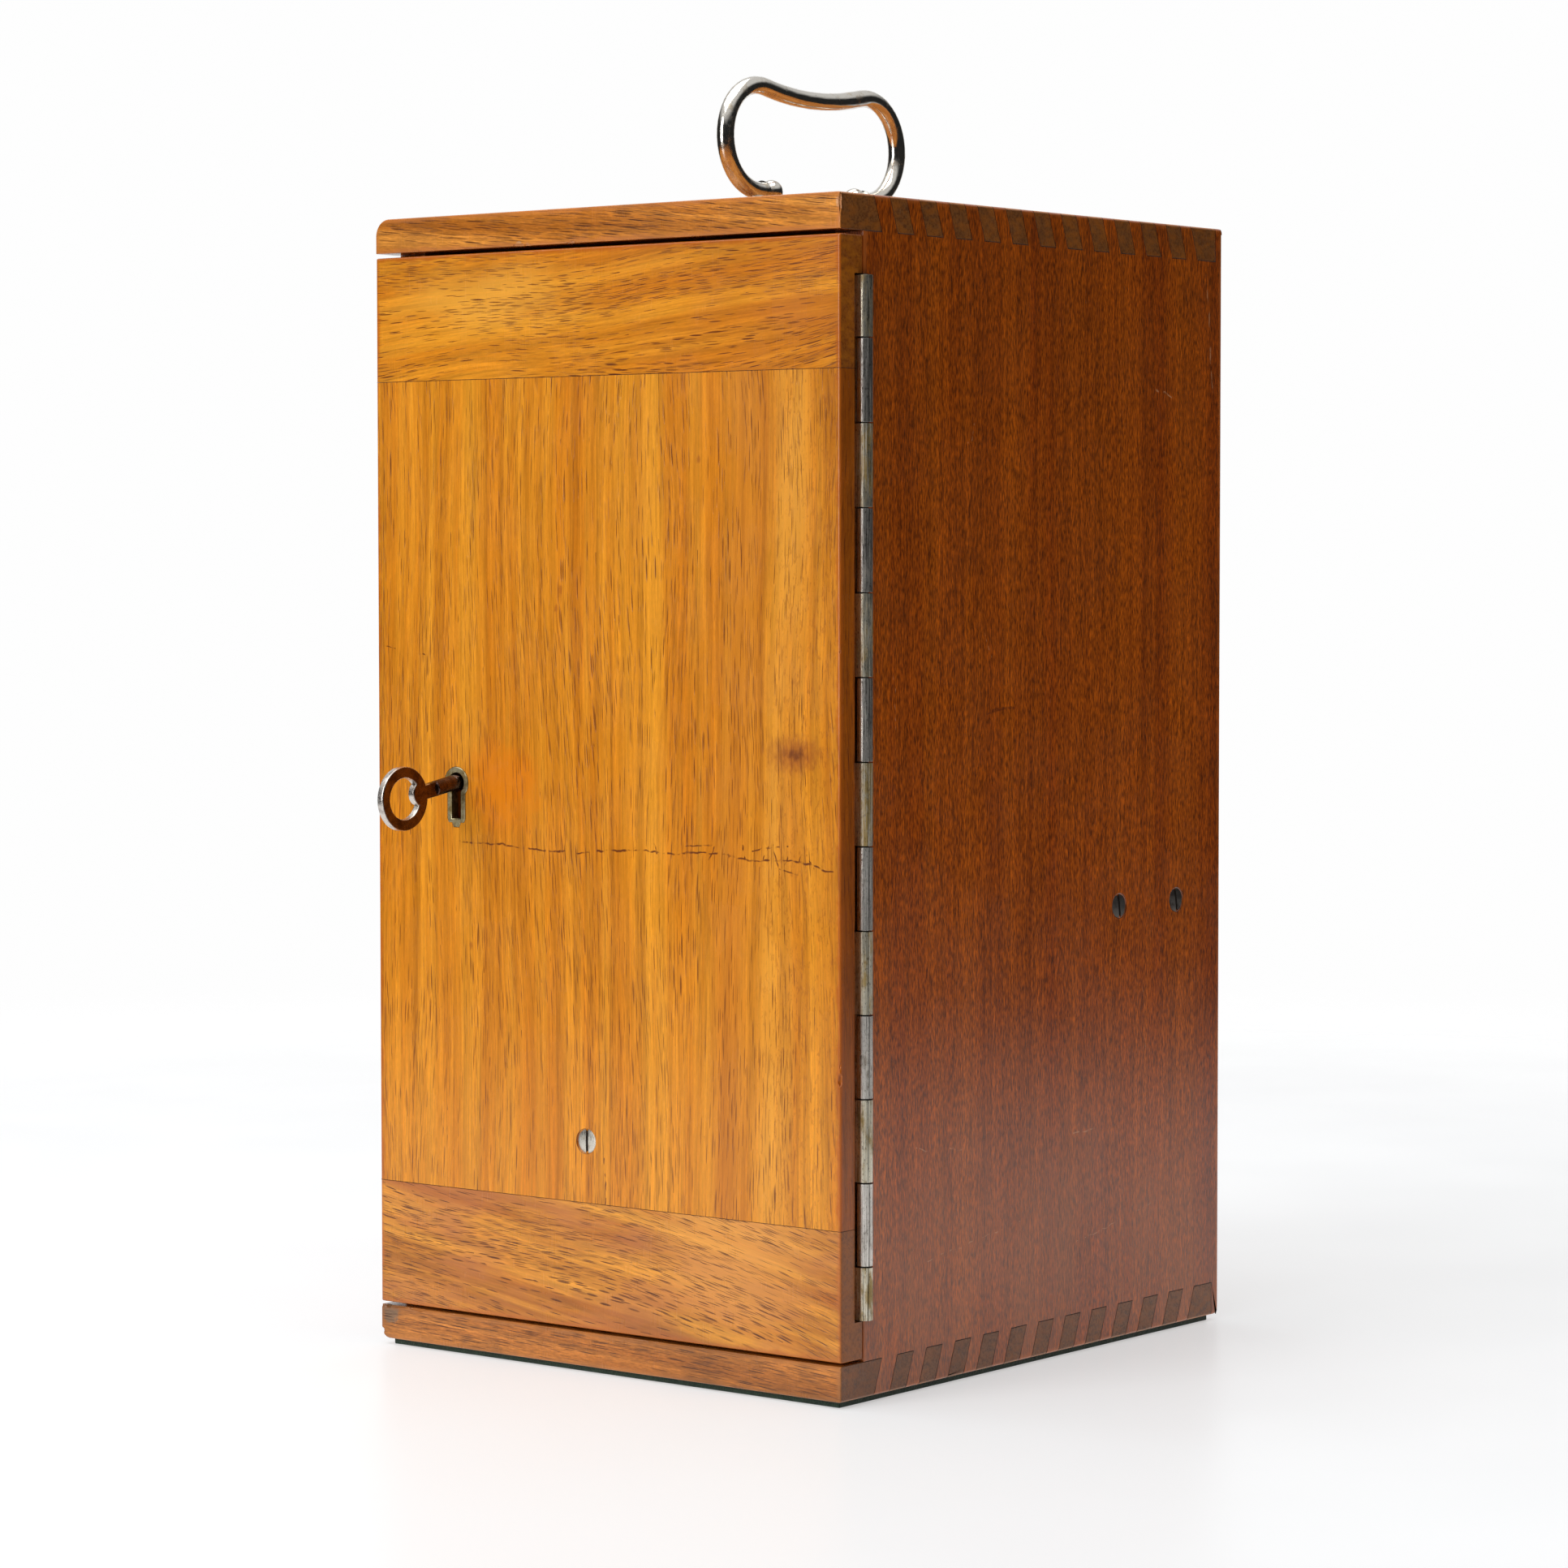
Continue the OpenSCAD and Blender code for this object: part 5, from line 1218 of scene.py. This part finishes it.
def key_metal(name):
    made, g, shader = new_material(name)
    place = g.put("ShaderNodeTexCoord").outputs["Object"]
    normal = g.put("ShaderNodeTexCoord").outputs["Normal"]
    cloud = g.noise(place, (260.0,) * 3, 3.0, 0.6)
    specks = g.noise(place, (2100.0,) * 3, 3.0, 0.6)
    brown = g.mix(g.remap(cloud, 0.35, 0.65), tint(70, 52, 48), tint(104, 82, 74))
    brown = g.mix(g.remap(specks, 0.52, 0.68, 0.0, 0.5), brown, tint(46, 34, 32))
    flat = g.remap(g.maths("ABSOLUTE", g.parts(normal)[0]), 0.55, 0.9)
    in_bow = g.remap(g.vector("DISTANCE", place, tuple(BOW_MIDDLE)), 0.0112, 0.0126, 1.0, 0.0)
    rim = g.times(g.minus(1.0, flat), in_bow)
    rim = g.times(rim, g.remap(cloud, 0.34, 0.56, 0.45, 1.0))
    colour = g.mix(rim, brown, tint(214, 206, 198))
    rough = g.remap(specks, 0.3, 0.7, 0.20, 0.34)
    bump = g.put("ShaderNodeBump", {"Height": specks, "Distance": 0.00003, "Strength": 0.6})
    wire(g, shader, Base_Color=colour, Roughness=rough, Normal=bump.outputs[0])
    shader.inputs["Metallic"].default_value = 1.0
    return made


key = merged_copy("key", "key_of_lock")
soften(key, lambda place: 0.55 * MM if place.y < front_y - 1 * MM else 0.12 * MM, 4)
smooth(key, 34)
place_piece(key, "key", "key_steel", key_metal("Browned steel"), "key")


# The handle's posts: turned from brass and nickelled, with a flange on the top
# board, a drilled ball for the bail, and a threaded shank with washer and nut.
nickel = metal("Polished nickel", (tint(226, 221, 212), tint(196, 184, 166)), 0.07, 0.35, 0.2)


for node, name, side in (
    ("handle_post_front", "post_front", 1), ("handle_post_rear", "post_rear", -1),
):
    post = merged_copy(node, name)
    soften(post, lambda place: 0.15 * MM, 2)
    smooth(post, 40)
    place_piece(post, "case", "nickel", nickel, node)
for node, name, width, slot, finish in (
    ("handle_washers", "washers_of_handle", 0.2, "nickel", bright_nickel),
    ("handle_nuts", "nuts_of_handle", 0.35, "lock_brass", aged_brass),
):
    piece = merged_copy(node, name)
    soften(piece, lambda place: width * MM, 2)
    smooth(piece)
    place_piece(piece, "case", slot, finish, node)


# The bail: one nickelled rod bent to a grip with a dip between two crowns. Its
# ends turn in under the grip, carry two thin rings each, and pivot in the posts.
bail = merged_copy("handle_bail", "bail_of_handle")
smooth(bail, 40)
place_piece(bail, "handle", "nickel", nickel, "handle_bail")


# The table: a white sheet, a little glossy, so that the case is faintly mirrored
# in it. It ends in the white of the background well behind the case.
TABLE_R = 1.3
bm = bmesh.new()
bmesh.ops.create_circle(bm, cap_ends=True, cap_tris=False, segments=96, radius=TABLE_R)
floor = new_piece(bm, "table_top")
white, g, shader = new_material("White table")
place = g.put("ShaderNodeTexCoord").outputs["Object"]
from_middle = g.vector("LENGTH", place)
wire(
    g, shader,
    Alpha=g.remap(from_middle, 0.55, 0.98 * TABLE_R, 1.0, 0.0),
    Roughness=g.remap(g.noise(place, (9.0,) * 3, 2.0), 0.3, 0.7, 0.30, 0.36),
)
shader.inputs["Base Color"].default_value = (0.50, 0.51, 0.52, 1)
shader.inputs["Emission Color"].default_value = (1.0, 1.0, 1.0, 1)
shader.inputs["Emission Strength"].default_value = 0.47
shader.inputs["Specular IOR Level"].default_value = 0.03
floor.data.materials.append(white)


# The studio: a tall soft light in front, another above, and a white backdrop behind
# the case. The rest of the room is dark, so that the varnish keeps its colour.
def soft_light(name, place, target, size, watts):
    lamp = bpy.data.lights.new(name, "AREA")
    lamp.shape = "RECTANGLE"
    lamp.size, lamp.size_y = size
    lamp.energy = watts
    made = bpy.data.objects.new(name, lamp)
    made.location = place
    made.rotation_euler = (Vector(target) - Vector(place)).to_track_quat("-Z", "Y").to_euler()
    bpy.context.scene.collection.objects.link(made)
    return made


centre = (cad_box[0] + cad_box[1]) / 2
soft_light("Front light", (-0.55, -2.2, 0.85), centre, (1.0, 1.6), 30)
soft_light("Top light", (-0.2, -0.3, 2.1), (0, 0, 0), (2.2, 2.2), 40)
world = bpy.data.worlds.new("Studio")
world.use_nodes = True
bpy.context.scene.world = world
g = Graph(world.node_tree)
rays = g.put("ShaderNodeLightPath").outputs
way = g.put("ShaderNodeTexCoord").outputs["Generated"]
backdrop = g.remap(g.vector("DOT_PRODUCT", way, (-0.62, 0.78, 0.0)), 0.72, 0.88)
above = g.remap(g.parts(way)[2], 0.30, 0.62)
white_room = g.maths("MAXIMUM", backdrop, g.times(above, 0.7))
mirrored = g.remap(white_room, 0.0, 1.0, 0.02, 0.95, "LINEAR")
brightness = g.mix(rays["Is Diffuse Ray"], mirrored, (0.10,) * 3 + (1,))
seen = g.mix(rays["Is Camera Ray"], brightness, (0.99, 0.99, 0.99, 1))
world.node_tree.links.new(seen, world.node_tree.nodes["Background"].inputs["Color"])
bpy.context.scene.view_settings.view_transform = "Standard"

camera = bpy.data.objects.new("Camera", bpy.data.cameras.new("Camera"))
camera.data.lens = 104.8
camera.data.sensor_width = 36
camera.data.clip_start = 0.05
camera.location = (0.93002, -1.18511, 0.25856)
camera.rotation_euler = (math.radians(90 - 2.906), math.radians(0.0516), math.radians(38.3886))
bpy.context.scene.collection.objects.link(camera)
bpy.context.scene.camera = camera
